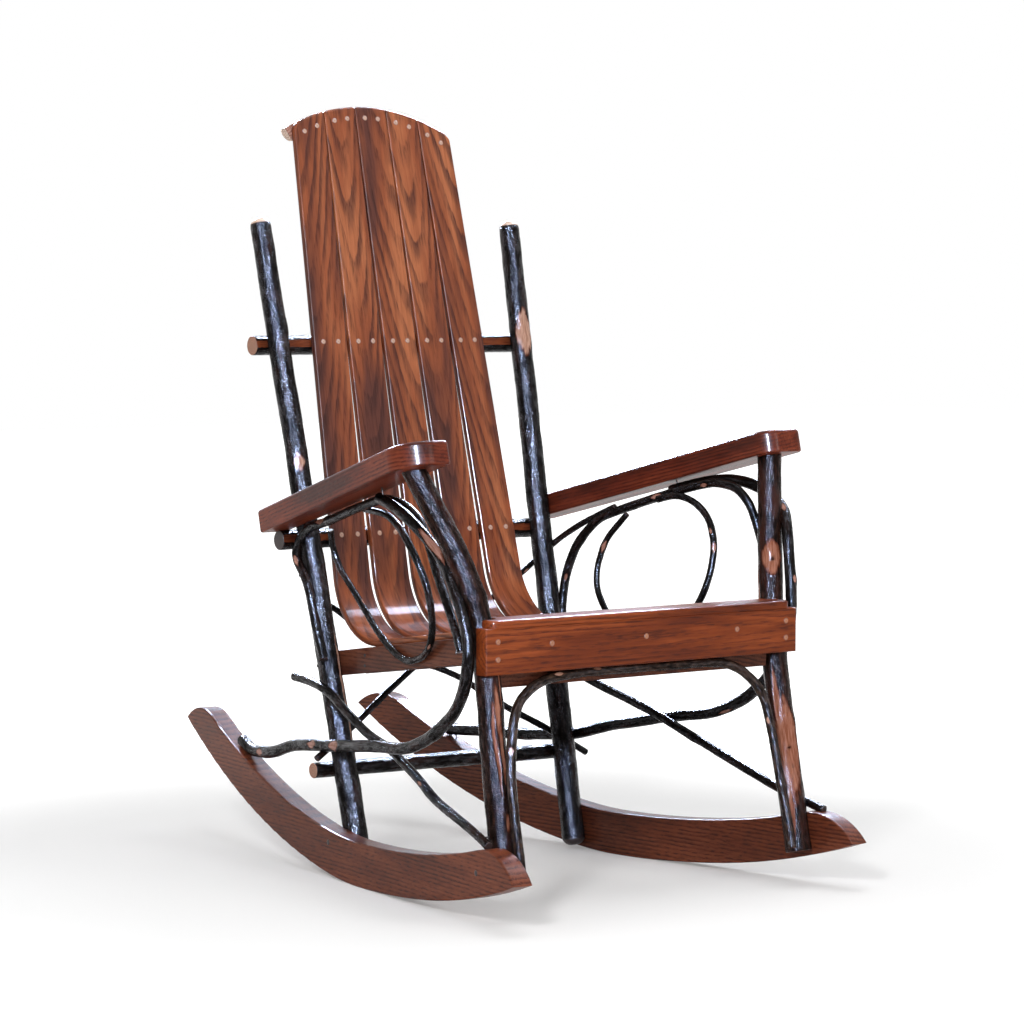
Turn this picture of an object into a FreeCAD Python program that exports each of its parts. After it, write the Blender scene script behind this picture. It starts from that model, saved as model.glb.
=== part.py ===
import FreeCAD, Part
import math
import os

# Bent hickory rocking chair, in millimetres. +Z is up, the sitter faces -Y, and the
# origin is on the floor at the middle of the runners. Left and right are seen by
# someone who looks at the front of the chair from outside: left is -X.

# Runners
rocker_length = 1044.0
rocker_thickness = 30.0
rocker_depth = 64.0
rocker_half_span = 243.5
rocker_toe_degrees = 7.6
rocker_rest_y = -63.5
rocker_rest_front_radius = 1820.0
rocker_rest_front_reach = 212.0
rocker_rest_rear_radius = 700.0
rocker_rest_rear_reach = 86.0
rocker_radius = 1246.0
rocker_front_nose = 100.0
rocker_rear_nose = 95.0
rocker_edge_round = 2.5

# Rear posts
rear_half_stance = 194.5
rear_post_y = 4.3
rear_post_lean_degrees = 12.65
rear_post_splay_degrees = 2.05
rear_post_height = 952.0
rear_post_foot_radius = 17.5
rear_post_top_radius = 15.5
rear_post_top_round = 7.0

# Front posts
front_left_half_stance = 256.0
front_left_post_y = -432.0
front_left_lean_degrees = 8.9
front_left_knot_height = 432.0
front_left_top_y = -293.0
front_left_top_radius = 15.8
front_right_half_stance = 257.5
front_right_post_y = -444.0
front_right_lean_degrees = 11.4
front_right_knot_height = 348.0
front_right_top_y = -305.0
front_right_top_radius = 17.0
front_post_lean_in = 3.0
front_post_foot_radius = 19.0
front_post_knot_radius = 18.8
front_post_top_half_span = 311.0
foot_rise = 6.0

# Slats, each one strip from the top of the back to the front of the seat
slat_count = 5
slat_thickness = 10.0
slat_top_width = 55.6
slat_front_width = 66.0
slat_top_pitch = 56.2
slat_front_pitch = 80.0
slat_bend_radius = 112.0
slat_edge_round = 2.0
back_height = 1124.5
back_arc_radius = 298.0
back_arc_x = -12.0
back_corner_round = 10.0

# Seat frame
apron_rear_y = -385.0
seat_front_height = 385.0
seat_slope_degrees = 7.8
seat_rail_height = 37.0
seat_rail_thickness = 20.0
seat_rail_seat_cut = 2.0
seat_rail_rear_overhang = 16.0
front_rail_height = 73.0
front_rail_thickness = 20.0
rear_rail_thickness = 20.0
rear_rail_y = -22.0
apron_length = 550.0
apron_thickness = 22.0
apron_height = 63.0
apron_edge_round = 2.5
cap_length = 530.0
cap_thickness = 10.5
cap_depth = 46.0
cap_nose_round = 4.0
cap_corner_round = 12.0
board_edge_round = 2.0

# Arms
arm_thickness = 34.0
arm_slope_degrees = 13.8
arm_front_underside = 602.5
arm_rear_y = 156.0
arm_front_y = -339.0
arm_rear_inner = 224.5
arm_front_inner = 281.0
arm_rear_outer = 270.0
arm_right_front_outer = 354.0
arm_left_front_outer = 359.0
arm_left_outer_round = 44.0
arm_left_inner_round = 9.0
arm_right_outer_round = 16.0
arm_right_inner_round = 30.0
arm_rear_corner_round = 6.0
arm_top_round = 6.0
arm_under_round = 3.0

# Round poles behind the rear posts
back_rail_radius = 14.5
back_rail_notch = 1.5
upper_rail_height = 771.0
upper_rail_left_stub = 27.0
upper_rail_right_stub = 21.0
lower_rail_height = 488.0
lower_rail_left_stub = 33.0
lower_rail_right_stub = 33.0
stretcher_radius = 11.5
stretcher_left_height = 157.0
stretcher_right_height = 151.0
stretcher_left_stub = 38.0
stretcher_right_stub = 22.0
top_cleat_radius = 14.0
top_cleat_drop = 8.0
top_cleat_left_stub = 8.0
top_cleat_right_stub = -5.0

# Bent hickory sticks, each a little thinner towards its second end
side_hoop_radius = 9.2
side_hoop_thin_radius = 8.0
arm_arch_radius = 7.0
arm_arch_thin_radius = 6.2
side_ring_radius = 5.4
side_ring_thin_radius = 4.6
side_brace_radius = 6.8
side_brace_thin_radius = 6.2
back_brace_radius = 5.0
back_brace_thin_radius = 4.4
front_arch_radius = 6.9
front_arch_thin_radius = 6.4
side_rear_y = 47.0
side_rear_half_span = 217.0
side_front_y = -372.0
side_front_half_span = 276.0
least_turn_degrees = 1.0

# Screws, wooden plugs and nails
plug_radius = 4.1
plug_depth = 4.0
screw_radius = 2.0
screw_head_radius = 3.5
screw_head_height = 2.6
slat_screw_length = 22.0
cleat_screw_length = 11.0
seat_screw_length = 32.0
seat_screw_sink = 0.8
apron_screw_length = 34.0
rocker_screw_length = 46.0
arm_front_screw_length = 60.0
arm_rear_screw_length = 46.0
slat_plug_inset = 16.0
slat_plug_top_inset = 18.0
seat_screw_inset = 11.0
apron_post_plug_x = 255.0
apron_post_plug_drop = 18.0
apron_second_plug_drop = 42.0
apron_rail_plug_x = 164.0
apron_rail_plug_drop = 25.0
rocker_front_plug_lift = 33.0
rocker_rear_plug_lift = 46.0
arm_rear_screw_inset = 11.5
nail_radius = 1.1
nail_head_radius = 2.4
nail_head_height = 1.2
nail_proud = 0.6
nail_bite = 14.0
pole_nail_bite = 22.0
rail_nail_bite = 14.0
rail_nail_drop = 11.0
rail_nail_spacing = 15.0
post_nail_spread = 6.0

# Shares of a height, a length or a spacing, chosen by hand
slat_overrun_share = 0.1
bend_share = 0.45
rocker_half = rocker_length / 2
arm_span = arm_front_underside
front_arch_half = front_left_half_stance


def vector(x, y, z):
    return FreeCAD.Vector(x, y, z)


def tangent(degrees):
    return math.tan(math.radians(degrees))


def mirrored(shape):
    return shape.mirror(vector(0, 0, 0), vector(1, 0, 0))


def largest(shape):
    return max(shape.Solids, key=lambda solid: solid.Volume)


def rod(start, end, start_radius, end_radius):
    run = end.sub(start)
    if start_radius == end_radius:
        return Part.makeCylinder(start_radius, run.Length, start, run)
    return Part.makeCone(start_radius, end_radius, run.Length, start, run)


# The axis of a rear post at a height, on the +X side
def rear_axis(z):
    x = rear_half_stance + z * tangent(rear_post_splay_degrees)
    return vector(x, rear_post_y + z * tangent(rear_post_lean_degrees), z)


def rear_radius(z):
    return rear_post_foot_radius + (rear_post_top_radius - rear_post_foot_radius) * z / rear_post_height


# The axis of a front post at a height, as on the +X side: straight up to the knot, then splayed
def front_values(side):
    if side > 0:
        return (front_right_half_stance, front_right_post_y, front_right_lean_degrees,
                front_right_knot_height, front_right_top_y, front_right_top_radius)
    return (front_left_half_stance, front_left_post_y, front_left_lean_degrees,
            front_left_knot_height, front_left_top_y, front_left_top_radius)


def front_axis(z, side):
    half_stance, foot_y, lean, knot_height, top_y, top_radius = front_values(side)
    share = min(z, knot_height) / knot_height
    x = half_stance - front_post_lean_in * share
    low = vector(x, foot_y + min(z, knot_height) * tangent(lean), min(z, knot_height))
    top = vector(front_post_top_half_span, top_y, arm_front_underside)
    if z <= knot_height:
        return low
    return low.add(top.sub(low).multiply((z - knot_height) / (arm_front_underside - knot_height)))


# The runner's lower curve: tangent arcs before and behind the place where it rests, each
# as (from y, to y, middle y, middle z, radius)
def rocker_arcs(way, rest_radius, reach):
    place_y = rocker_rest_y + way * reach
    place_z = rest_radius - math.sqrt(rest_radius ** 2 - reach ** 2)
    share = rocker_radius / rest_radius
    middle_y = place_y + (rocker_rest_y - place_y) * share
    middle_z = place_z + (rest_radius - place_z) * share
    return [(rocker_rest_y, place_y, rocker_rest_y, rest_radius, rest_radius),
            (place_y, way * rocker_half, middle_y, middle_z, rocker_radius)]


def rocker_bottom(y):
    arcs = rocker_arcs(-1, rocker_rest_front_radius, rocker_rest_front_reach)
    if y > rocker_rest_y:
        arcs = rocker_arcs(1, rocker_rest_rear_radius, rocker_rest_rear_reach)
    start, joint, middle_y, middle_z, radius = arcs[0]
    if abs(y - start) > abs(joint - start):
        start, joint, middle_y, middle_z, radius = arcs[1]
    return middle_z - math.sqrt(radius ** 2 - (y - middle_y) ** 2)


def rocker_point(y, lift):
    return vector(0, y, rocker_bottom(y) + lift)


def rocker_stretch(y_from, y_to, lift):
    middle = (y_from + y_to) / 2
    return Part.Arc(rocker_point(y_from, lift), rocker_point(middle, lift), rocker_point(y_to, lift)).toShape()


# An arc that leaves start along heading and ends at end
def arc_from_heading(start, heading, end):
    chord = end.sub(start)
    heading = vector(heading.x, heading.y, heading.z).normalize()
    normal = chord.sub(vector(heading.x, heading.y, heading.z).multiply(chord.dot(heading))).normalize()
    radius = chord.dot(chord) / (2 * chord.dot(normal))
    centre = start.add(vector(normal.x, normal.y, normal.z).multiply(radius))
    middle = start.add(end).multiply(0.5).sub(centre).normalize().multiply(radius).add(centre)
    return Part.Arc(start, middle, end).toShape()


def rocker_heading(y, way):
    step = rocker_rest_rear_reach / 100
    return rocker_point(y + way * step, 0).sub(rocker_point(y, 0))


def make_rocker():
    front_top = -rocker_half + rocker_front_nose
    rear_top = rocker_half - rocker_rear_nose
    rest_front = rocker_rest_y - rocker_rest_front_reach
    rest_rear = rocker_rest_y + rocker_rest_rear_reach
    front_corner = rocker_point(-rocker_half, 0)
    rear_corner = rocker_point(rocker_half, 0)
    edges = []
    joints = (-rocker_half, rest_front, rocker_rest_y, rest_rear, rocker_half)
    for y_from, y_to in zip(joints, joints[1:]):
        edges.append(rocker_stretch(y_from, y_to, 0))
    edges.append(arc_from_heading(rocker_point(rear_top, rocker_depth), rocker_heading(rear_top, 1), rear_corner))
    joints = (front_top, rest_front, rocker_rest_y, rest_rear, rear_top)
    for y_from, y_to in zip(joints, joints[1:]):
        edges.append(rocker_stretch(y_from, y_to, rocker_depth))
    edges.append(arc_from_heading(rocker_point(front_top, rocker_depth), rocker_heading(front_top, -1), front_corner))
    wire = Part.Wire(Part.sortEdges(edges)[0])
    board = Part.Face(wire).extrude(vector(-rocker_thickness, 0, 0))
    rims = [edge for edge in board.Edges if edge.BoundBox.XLength < rocker_edge_round / 2]
    board = board.makeFillet(rocker_edge_round, rims)
    board.rotate(vector(0, 0, 0), vector(0, 0, 1), rocker_toe_degrees)
    board.translate(vector(rocker_half_span, 0, 0))
    return board


# Height of the runner's lower edge under a place given in the chair's own y
def floor_gap(y):
    return rocker_bottom(y / math.cos(math.radians(rocker_toe_degrees)))


def make_rear_post():
    foot = rear_axis(floor_gap(rear_axis(0).y) + foot_rise)
    top = rear_axis(rear_post_height)
    post = rod(foot, top, rear_post_foot_radius, rear_post_top_radius)
    tip = [edge for edge in post.Edges if edge.BoundBox.ZMin > rear_post_height - rear_post_top_radius]
    return post.makeFillet(rear_post_top_round, tip)


def make_front_post(side):
    half_stance, foot_y, lean, knot_height, top_y, top_radius = front_values(side)
    foot = front_axis(floor_gap(foot_y) + foot_rise, side)
    knot = front_axis(knot_height, side)
    top = front_axis(arm_front_underside + arm_thickness / 2, side)
    lower = rod(foot, knot, front_post_foot_radius, front_post_knot_radius)
    upper = rod(knot, top, front_post_knot_radius, top_radius)
    swelling = Part.makeSphere(front_post_knot_radius, knot)
    return largest(lower.fuse([swelling, upper]).removeSplitter())


# The sheet that the slats are cut from, in the plane x = 0: the seat's under face slopes
# down to the rear, and the back's rear face lies in line with the front of the back rails
back_offset = rear_post_foot_radius - back_rail_notch
apron_front_y = apron_rear_y - apron_thickness


def seat_height(y):
    return seat_front_height - (y - apron_rear_y) * tangent(seat_slope_degrees)


def back_direction():
    return vector(0, tangent(rear_post_lean_degrees), 1).normalize()


def back_normal():
    along = back_direction()
    return vector(0, along.z, -along.y)


def seat_direction():
    return vector(0, 1, -tangent(seat_slope_degrees)).normalize()


def back_plane_point(z, offset):
    lean = rear_axis(z)
    return vector(0, lean.y, lean.z).add(back_normal().multiply(offset))


# Where the seat line and the back line of a layer would cross
def seat_corner(lift, offset):
    along = seat_direction()
    up = back_direction()
    on_seat = vector(0, apron_rear_y, seat_front_height).add(vector(0, -along.z, along.y).multiply(lift))
    on_back = back_plane_point(0, offset)
    gap = on_back.sub(on_seat)
    reach = (gap.y * up.z - gap.z * up.y) / (along.y * up.z - along.z * up.y)
    return on_seat.add(vector(0, along.y, along.z).multiply(reach))


def bend_half_angle():
    return math.acos(max(-1.0, min(1.0, seat_direction().dot(back_direction())))) / 2


# One face of the sheet, from the front of the seat to above the back
def layer_points(lift, offset, radius):
    corner = seat_corner(lift, offset)
    cut = radius * math.tan(bend_half_angle())
    front = vector(0, apron_rear_y, seat_height(apron_rear_y)).add(vector(0, 0, lift / seat_direction().y))
    bend_front = corner.sub(seat_direction().multiply(cut))
    bend_rear = corner.add(back_direction().multiply(cut))
    top = back_plane_point(back_height + rocker_depth, offset)
    inward = vector(0, -seat_direction().z, seat_direction().y)
    centre = bend_front.add(inward.multiply(radius))
    outward = corner.sub(centre).normalize()
    return front, bend_front, centre.add(outward.multiply(radius)), bend_rear, top


def slat_layers():
    upper = layer_points(slat_thickness, back_offset - slat_thickness, slat_bend_radius - slat_thickness / 2)
    under = layer_points(0, back_offset, slat_bend_radius + slat_thickness / 2)
    return upper, under


# The middle of the arc that the back's top follows, in a layer of the back
def arc_centre(offset):
    centre = back_plane_point(back_height, offset).sub(back_direction().multiply(back_arc_radius))
    return centre.add(vector(back_arc_x, 0, 0))


def make_crown():
    reach = back_arc_radius
    start = arc_centre(back_offset).sub(back_normal().multiply(reach / 2))
    return Part.makeCylinder(back_arc_radius, reach, start, back_normal())


def make_slat_sheet():
    upper, under = slat_layers()
    edges = []
    for front, bend_front, bend_middle, bend_rear, top in (upper, under):
        edges.append(Part.LineSegment(front, bend_front).toShape())
        edges.append(Part.Arc(bend_front, bend_middle, bend_rear).toShape())
        edges.append(Part.LineSegment(bend_rear, top).toShape())
    edges.append(Part.LineSegment(upper[0], under[0]).toShape())
    edges.append(Part.LineSegment(upper[4], under[4]).toShape())
    width = slat_count * slat_front_pitch
    sheet = Part.Face(Part.Wire(Part.sortEdges(edges)[0])).extrude(vector(width * 2, 0, 0))
    sheet.translate(vector(-width, 0, 0))
    reach = back_arc_radius
    below = Part.makeBox(width * 2, reach * 6, back_height * 2)
    below.translate(vector(-width, -reach * 3, -back_height * 2))
    below.rotate(vector(0, 0, 0), vector(1, 0, 0), -rear_post_lean_degrees)
    below.translate(arc_centre(back_offset))
    return sheet.common(make_crown().fuse(below))


# The slats' straight sides are seen from the bend, along the line that halves its angle
def slat_view():
    return bend_half_line(seat_corner(0, back_offset))


def bend_half_line(corner):
    away = seat_direction().sub(back_direction())
    return vector(0, away.y, away.z).normalize()


# A slat's middle line and half width, from its top (share 0) to its front end (share 1)
def slat_edge(index, share):
    pitch = slat_top_pitch + (slat_front_pitch - slat_top_pitch) * share
    width = slat_top_width + (slat_front_width - slat_top_width) * share
    return (index - (slat_count - 1) / 2) * pitch, width / 2


def make_slat(sheet, index):
    top = back_plane_point(back_height, back_offset)
    front = vector(0, apron_rear_y, seat_front_height)
    view = slat_view()
    outline = []
    for place, share in ((top, 0), (front, 1)):
        middle, half = slat_edge(index, share)
        ends = [place.add(vector(middle + way * half, 0, 0)) for way in (-1, 1)]
        outline += ends if share == 0 else ends[::-1]
    reach = back_height
    flat = [point.sub(vector(0, view.y, view.z).multiply(point.dot(view))) for point in outline]
    lengthened = []
    for near, far in ((0, 3), (1, 2), (2, 1), (3, 0)):
        run = flat[near].sub(flat[far])
        lengthened.append(flat[near].add(run.multiply(slat_overrun_share)))
    start = [point.sub(vector(0, view.y, view.z).multiply(reach * 2)) for point in lengthened]
    blank = Part.Face(Part.makePolygon(start + start[:1])).extrude(vector(0, view.y, view.z).multiply(reach * 4))
    slat = largest(sheet.common(blank))
    if index in (0, slat_count - 1):
        way = 1 if index else -1
        corners = []
        for edge in slat.Edges:
            across = edge.Length < slat_thickness * 2 and edge.BoundBox.ZMin > back_height * 2 / 3
            if across and way * edge.CenterOfMass.x > way * slat.CenterOfMass.x:
                corners.append(edge)
        slat = slat.makeFillet(back_corner_round, corners)
    long_edges = [edge for edge in slat.Edges if edge.Length > slat_top_width / 2]
    long_edges = [edge for edge in long_edges if edge.BoundBox.YMin > apron_rear_y + slat_edge_round
                  or edge.BoundBox.YLength > slat_front_width]
    return slat.makeFillet(slat_edge_round, long_edges)


# A peg's place across a slat, at a height on the back
def slat_x(index, side, z):
    view = slat_view()
    top = back_plane_point(back_height, back_offset)
    front = vector(0, apron_rear_y, seat_front_height)
    run = front.sub(top)
    run = run.sub(vector(0, view.y, view.z).multiply(run.dot(view)))
    place = back_plane_point(z, back_offset).sub(top)
    middle, half = slat_edge(index, place.dot(run) / run.dot(run))
    return middle + side * (half - slat_plug_inset)


# Round poles behind the rear posts
def pole_end(z, stub, radius, side):
    place = back_plane_point(z, back_offset + radius)
    return vector(side * (rear_axis(z).x + stub), place.y, place.z)


def make_pole(left_height, right_height, left_stub, right_stub, radius):
    left = pole_end(left_height, left_stub, radius, -1)
    right = pole_end(right_height, right_stub, radius, 1)
    return rod(left, right, radius, radius)


def make_top_cleat():
    centre = arc_centre(back_offset)
    radius = back_arc_radius - top_cleat_drop
    ends = []
    for side, stub in ((-1, top_cleat_left_stub), (1, top_cleat_right_stub)):
        reach = side * (slat_count * slat_top_pitch / 2 + stub) - back_arc_x
        lift = back_direction().multiply(math.sqrt(radius ** 2 - reach ** 2))
        ends.append(centre.add(lift).add(vector(reach, 0, 0)))
    crown = centre.add(back_direction().multiply(radius))
    spine = Part.Wire([Part.Arc(ends[0], crown, ends[1]).toShape()])
    heading = spine.Edges[0].tangentAt(spine.Edges[0].FirstParameter)
    ring = Part.Wire([Part.makeCircle(top_cleat_radius, ends[0], heading)])
    stick = spine.makePipeShell([ring], True, False)
    keep = Part.makeBox(back_arc_radius * 4, back_arc_radius, back_arc_radius * 4)
    keep.translate(vector(-back_arc_radius * 2, 0, -back_arc_radius * 2))
    keep.rotate(vector(0, 0, 0), vector(1, 0, 0), -rear_post_lean_degrees)
    keep.translate(crown)
    return largest(stick.common(keep).common(make_crown()))


# Seat frame: how far out a side rail's outer face stands, and the frame's pieces
def side_rail_x(y, side):
    front = front_axis(seat_front_height - seat_rail_height, side)
    rear = rear_axis(seat_height(rear_axis(seat_front_height).y))
    front_x = front.x - front_post_knot_radius + seat_rail_seat_cut
    rear_x = rear.x - rear_radius(rear.z) + seat_rail_seat_cut
    return front_x + (rear_x - front_x) * (y - front.y) / (rear.y - front.y)


def make_side_rail(side):
    rear = rear_axis(seat_height(rear_axis(seat_front_height).y))
    corners = []
    for y in (apron_rear_y + front_rail_thickness, rear.y + seat_rail_rear_overhang):
        corners.append((side_rail_x(y, side), y))
    outline = []
    for x, y in corners + [(x - seat_rail_thickness, y) for x, y in corners[::-1]]:
        outline.append(vector(x, y, seat_height(y)))
    face = Part.Face(Part.makePolygon(outline + outline[:1]))
    rail = face.extrude(vector(0, 0, -seat_rail_height))
    long_edges = [edge for edge in rail.Edges if edge.BoundBox.YLength > rail.BoundBox.YLength / 2]
    return rail.makeFillet(board_edge_round, long_edges)


def make_front_rail():
    half = front_left_half_stance
    corner = vector(-half, apron_rear_y, seat_front_height - front_rail_height)
    rail = Part.makeBox(half * 2, front_rail_thickness, front_rail_height, corner)
    roof = Part.makeBox(half * 4, front_rail_thickness * 4, front_rail_height)
    roof.translate(vector(-half * 2, -front_rail_thickness, 0))
    roof.rotate(vector(0, 0, 0), vector(1, 0, 0), -seat_slope_degrees)
    roof.translate(vector(0, apron_rear_y, seat_front_height))
    return largest(rail.cut(roof))


def make_rear_rail():
    drop = seat_rail_height / math.cos(math.radians(seat_slope_degrees))
    rail = Part.makeBox(rear_half_stance * 2, rear_rail_thickness, drop)
    rail.translate(vector(-rear_half_stance, 0, -drop))
    rail.rotate(vector(0, 0, 0), vector(1, 0, 0), -seat_slope_degrees)
    rail.translate(vector(0, rear_rail_y, seat_height(rear_rail_y)))
    return rail


def make_apron():
    top = seat_front_height + slat_thickness
    corner = vector(-apron_length / 2, apron_front_y, top - apron_height)
    block = Part.makeBox(apron_length, apron_thickness, apron_height, corner)
    rims = [edge for edge in block.Edges if edge.BoundBox.YMax < apron_front_y + apron_edge_round]
    return block.makeFillet(apron_edge_round, rims)


def make_cap():
    top = seat_front_height + slat_thickness
    strip = Part.makeBox(cap_length, cap_depth, cap_thickness, vector(-cap_length / 2, apron_front_y, top))
    uprights = []
    for edge in strip.Edges:
        if edge.BoundBox.ZLength > cap_thickness / 2 and edge.BoundBox.YMax < apron_rear_y:
            uprights.append(edge)
    strip = strip.makeFillet(cap_corner_round, uprights)
    rims = []
    for edge in strip.Edges:
        box = edge.BoundBox
        if box.ZMin > top + cap_thickness / 2 and box.YMin < apron_rear_y:
            rims.append(edge)
    return strip.makeFillet(cap_nose_round, rims)


# Arms
def arm_underside(y):
    return arm_front_underside - (y - front_left_top_y) * tangent(arm_slope_degrees)


def make_arm(front_outer, inner_round, outer_round):
    stretch = 1 / math.cos(math.radians(arm_slope_degrees))
    length = (arm_rear_y - arm_front_y) * stretch
    corners = [(arm_rear_inner, 0, arm_rear_corner_round), (arm_front_inner, length, inner_round)]
    corners += [(front_outer, length, outer_round), (arm_rear_outer, 0, arm_rear_corner_round)]
    outline = [vector(x, -run, 0) for x, run, radius in corners]
    plank = Part.Face(Part.makePolygon(outline + outline[:1])).extrude(vector(0, 0, arm_thickness))
    for point, (x, run, radius) in zip(outline, corners):
        upright = []
        for edge in plank.Edges:
            near = min((vertex.Point.sub(point)).Length for vertex in edge.Vertexes)
            if edge.BoundBox.ZLength > arm_thickness / 2 and near < arm_rear_corner_round / 2:
                upright.append(edge)
        plank = plank.makeFillet(radius, upright)
    top_rim = [edge for edge in plank.Edges if edge.BoundBox.ZMin > arm_thickness / 2]
    plank = plank.makeFillet(arm_top_round, top_rim)
    low_rim = [edge for edge in plank.Edges if edge.BoundBox.ZMax < arm_under_round / 2]
    plank = plank.makeFillet(arm_under_round, low_rim)
    plank.rotate(vector(0, 0, 0), vector(1, 0, 0), -arm_slope_degrees)
    plank.translate(vector(0, arm_rear_y, arm_underside(arm_rear_y)))
    return plank


# A bent stick's middle line: straight runs joined by arcs as large as the runs allow
def stick_line(points):
    kept = [points[0]]
    for point, ahead in zip(points[1:], points[2:]):
        turn = point.sub(kept[-1]).getAngle(ahead.sub(point))
        if math.degrees(turn) > least_turn_degrees:
            kept.append(point)
    kept.append(points[-1])
    edges = []
    place = kept[0]
    for first, corner, last in zip(kept, kept[1:], kept[2:]):
        before = corner.sub(first)
        after = last.sub(corner)
        turn = before.getAngle(after)
        cut = min(before.Length, after.Length) * bend_share
        start = corner.sub(vector(before.x, before.y, before.z).normalize().multiply(cut))
        end = corner.add(vector(after.x, after.y, after.z).normalize().multiply(cut))
        aim = start.add(end).multiply(0.5).sub(corner).normalize()
        bend = cut / math.tan(turn / 2)
        middle = corner.add(aim.multiply(bend / math.cos(turn / 2) - bend))
        edges.append(Part.LineSegment(place, start).toShape())
        edges.append(Part.Arc(start, middle, end).toShape())
        place = end
    edges.append(Part.LineSegment(place, kept[-1]).toShape())
    return Part.Wire(edges)


def bent_stick(line, start_radius, end_radius):
    first = line.Edges[0]
    last = line.Edges[-1]
    heading = first.tangentAt(first.FirstParameter)
    ending = last.tangentAt(last.LastParameter)
    rings = [Part.Wire([Part.makeCircle(start_radius, first.valueAt(first.FirstParameter), heading)])]
    rings.append(Part.Wire([Part.makeCircle(end_radius, last.valueAt(last.LastParameter), ending)]))
    return line.makePipeShell(rings, True, False)


# The side of the chair as a flat sheet that touches the posts' outer sides
def side_sheet(y):
    share = (side_rear_y - y) / (side_rear_y - side_front_y)
    return side_rear_half_span + (side_front_half_span - side_rear_half_span) * share


# Places on a side: y as a share of half the runner, z as a share of the arm's height, and
# how far outside the side sheet the stick's middle lies, in stick radii
def side_route(shares, radius, side):
    points = []
    for y_share, z_share, out_share in shares:
        y = y_share * rocker_half
        points.append(vector(side * (side_sheet(y) + out_share * radius), y, z_share * arm_span))
    return points


hoop_left_shares = (
    (0.65, 0.272, 0.9), (0.58, 0.25, 0.9), (0.45, 0.258, 0.9), (0.33, 0.29, 0.9), (0.21, 0.303, 0.9),
    (0.0, 0.32, 1.1), (-0.18, 0.34, 1.3), (-0.39, 0.35, 1.3), (-0.54, 0.395, 1.1), (-0.66, 0.462, 0.9),
    (-0.72, 0.53, 0.9), (-0.737, 0.61, 0.9), (-0.70, 0.69, 1.0), (-0.65, 0.755, 1.1), (-0.60, 0.81, 1.6),
    (-0.51, 0.87, 2.8), (-0.42, 0.91, 3.6), (-0.33, 0.93, 4.2),
)
hoop_right_shares = (
    (0.61, 0.256, 0.9), (0.50, 0.262, 0.9), (0.30, 0.268, 0.9), (0.09, 0.283, 0.9), (-0.05, 0.318, 1.0),
    (-0.19, 0.34, 1.2), (-0.30, 0.36, 1.3), (-0.43, 0.374, 1.3), (-0.55, 0.41, 1.1), (-0.65, 0.475, 1.0),
    (-0.705, 0.55, 0.9), (-0.735, 0.632, 0.9), (-0.725, 0.731, 1.2), (-0.68, 0.84, 3.0), (-0.63, 0.885, 5.2),
    (-0.56, 0.918, 6.0), (-0.50, 0.94, 5.2), (-0.42, 0.945, 4.5), (-0.32, 0.93, 4.2), (-0.23, 0.91, 4.2),
)
arch_left_shares = (
    (0.095, 0.52, 1.9), (0.145, 0.61, 2.1), (0.175, 0.70, 2.5), (0.24, 0.755, 3.1), (0.215, 0.80, 3.4),
    (0.14, 0.838, 3.5), (0.03, 0.855, 3.4), (-0.11, 0.888, 3.2), (-0.21, 0.91, 3.0), (-0.30, 0.928, 2.6),
    (-0.39, 0.915, 1.6), (-0.46, 0.88, 0.7), (-0.505, 0.82, 0.4), (-0.55, 0.76, 0.6), (-0.61, 0.70, 0.9),
    (-0.665, 0.645, 1.2), (-0.69, 0.60, 1.1),
)
arch_right_shares = (
    (0.15, 0.52, 2.1), (0.155, 0.60, 2.2), (0.14, 0.69, 2.4), (0.10, 0.77, 2.9), (0.02, 0.835, 3.2),
    (-0.07, 0.858, 3.2), (-0.16, 0.88, 3.0), (-0.33, 0.92, 2.4), (-0.45, 0.94, 1.5), (-0.535, 0.93, 1.2),
    (-0.58, 0.895, 1.3), (-0.59, 0.84, 2.7), (-0.61, 0.78, 3.0), (-0.625, 0.72, 1.7),
)
ring_left_shares = (
    (-0.15, 0.895, 2.2), (-0.285, 0.888, 1.9), (-0.35, 0.856, 1.2), (-0.416, 0.791, -0.1), (-0.452, 0.73, -1.5),
    (-0.451, 0.66, -3.1), (-0.428, 0.606, -4.2), (-0.375, 0.562, -4.8), (-0.285, 0.54, -4.6), (-0.195, 0.559, -4.4),
    (-0.10, 0.607, -3.9), (-0.022, 0.669, -2.9), (0.06, 0.735, -1.4), (0.084, 0.784, -0.2), (0.066, 0.833, 1.6),
)
ring_right_shares = (
    (-0.23, 0.89, 2.2), (-0.30, 0.905, 2.4), (-0.371, 0.89, 2.2), (-0.434, 0.852, 1.4), (-0.469, 0.793, 0.0),
    (-0.474, 0.726, -1.6), (-0.458, 0.665, -3.0), (-0.415, 0.60, -4.4), (-0.345, 0.555, -4.7), (-0.245, 0.54, -4.5),
    (-0.15, 0.562, -4.3), (-0.095, 0.613, -4.0), (-0.055, 0.66, -3.2), (-0.040, 0.711, -1.9), (-0.055, 0.782, -0.3),
    (-0.12, 0.850, 1.6),
)
brace_left_shares = (
    (0.31, 0.46, 0.8), (0.20, 0.458, 0.8), (0.10, 0.446, 0.8), (-0.02, 0.395, 0.2), (-0.12, 0.355, -0.6),
    (-0.23, 0.338, -1.0), (-0.42, 0.282, -0.4), (-0.51, 0.25, 0.0), (-0.64, 0.225, 0.5), (-0.76, 0.20, 0.8),
    (-0.83, 0.18, 0.8),
)
brace_right_shares = (
    (0.30, 0.50, 0.8), (0.16, 0.47, 0.8), (0.01, 0.425, 0.6), (-0.14, 0.392, -0.2), (-0.27, 0.362, -0.8),
    (-0.43, 0.308, -0.7), (-0.68, 0.222, 0.5), (-0.86, 0.178, 0.8),
)
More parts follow.
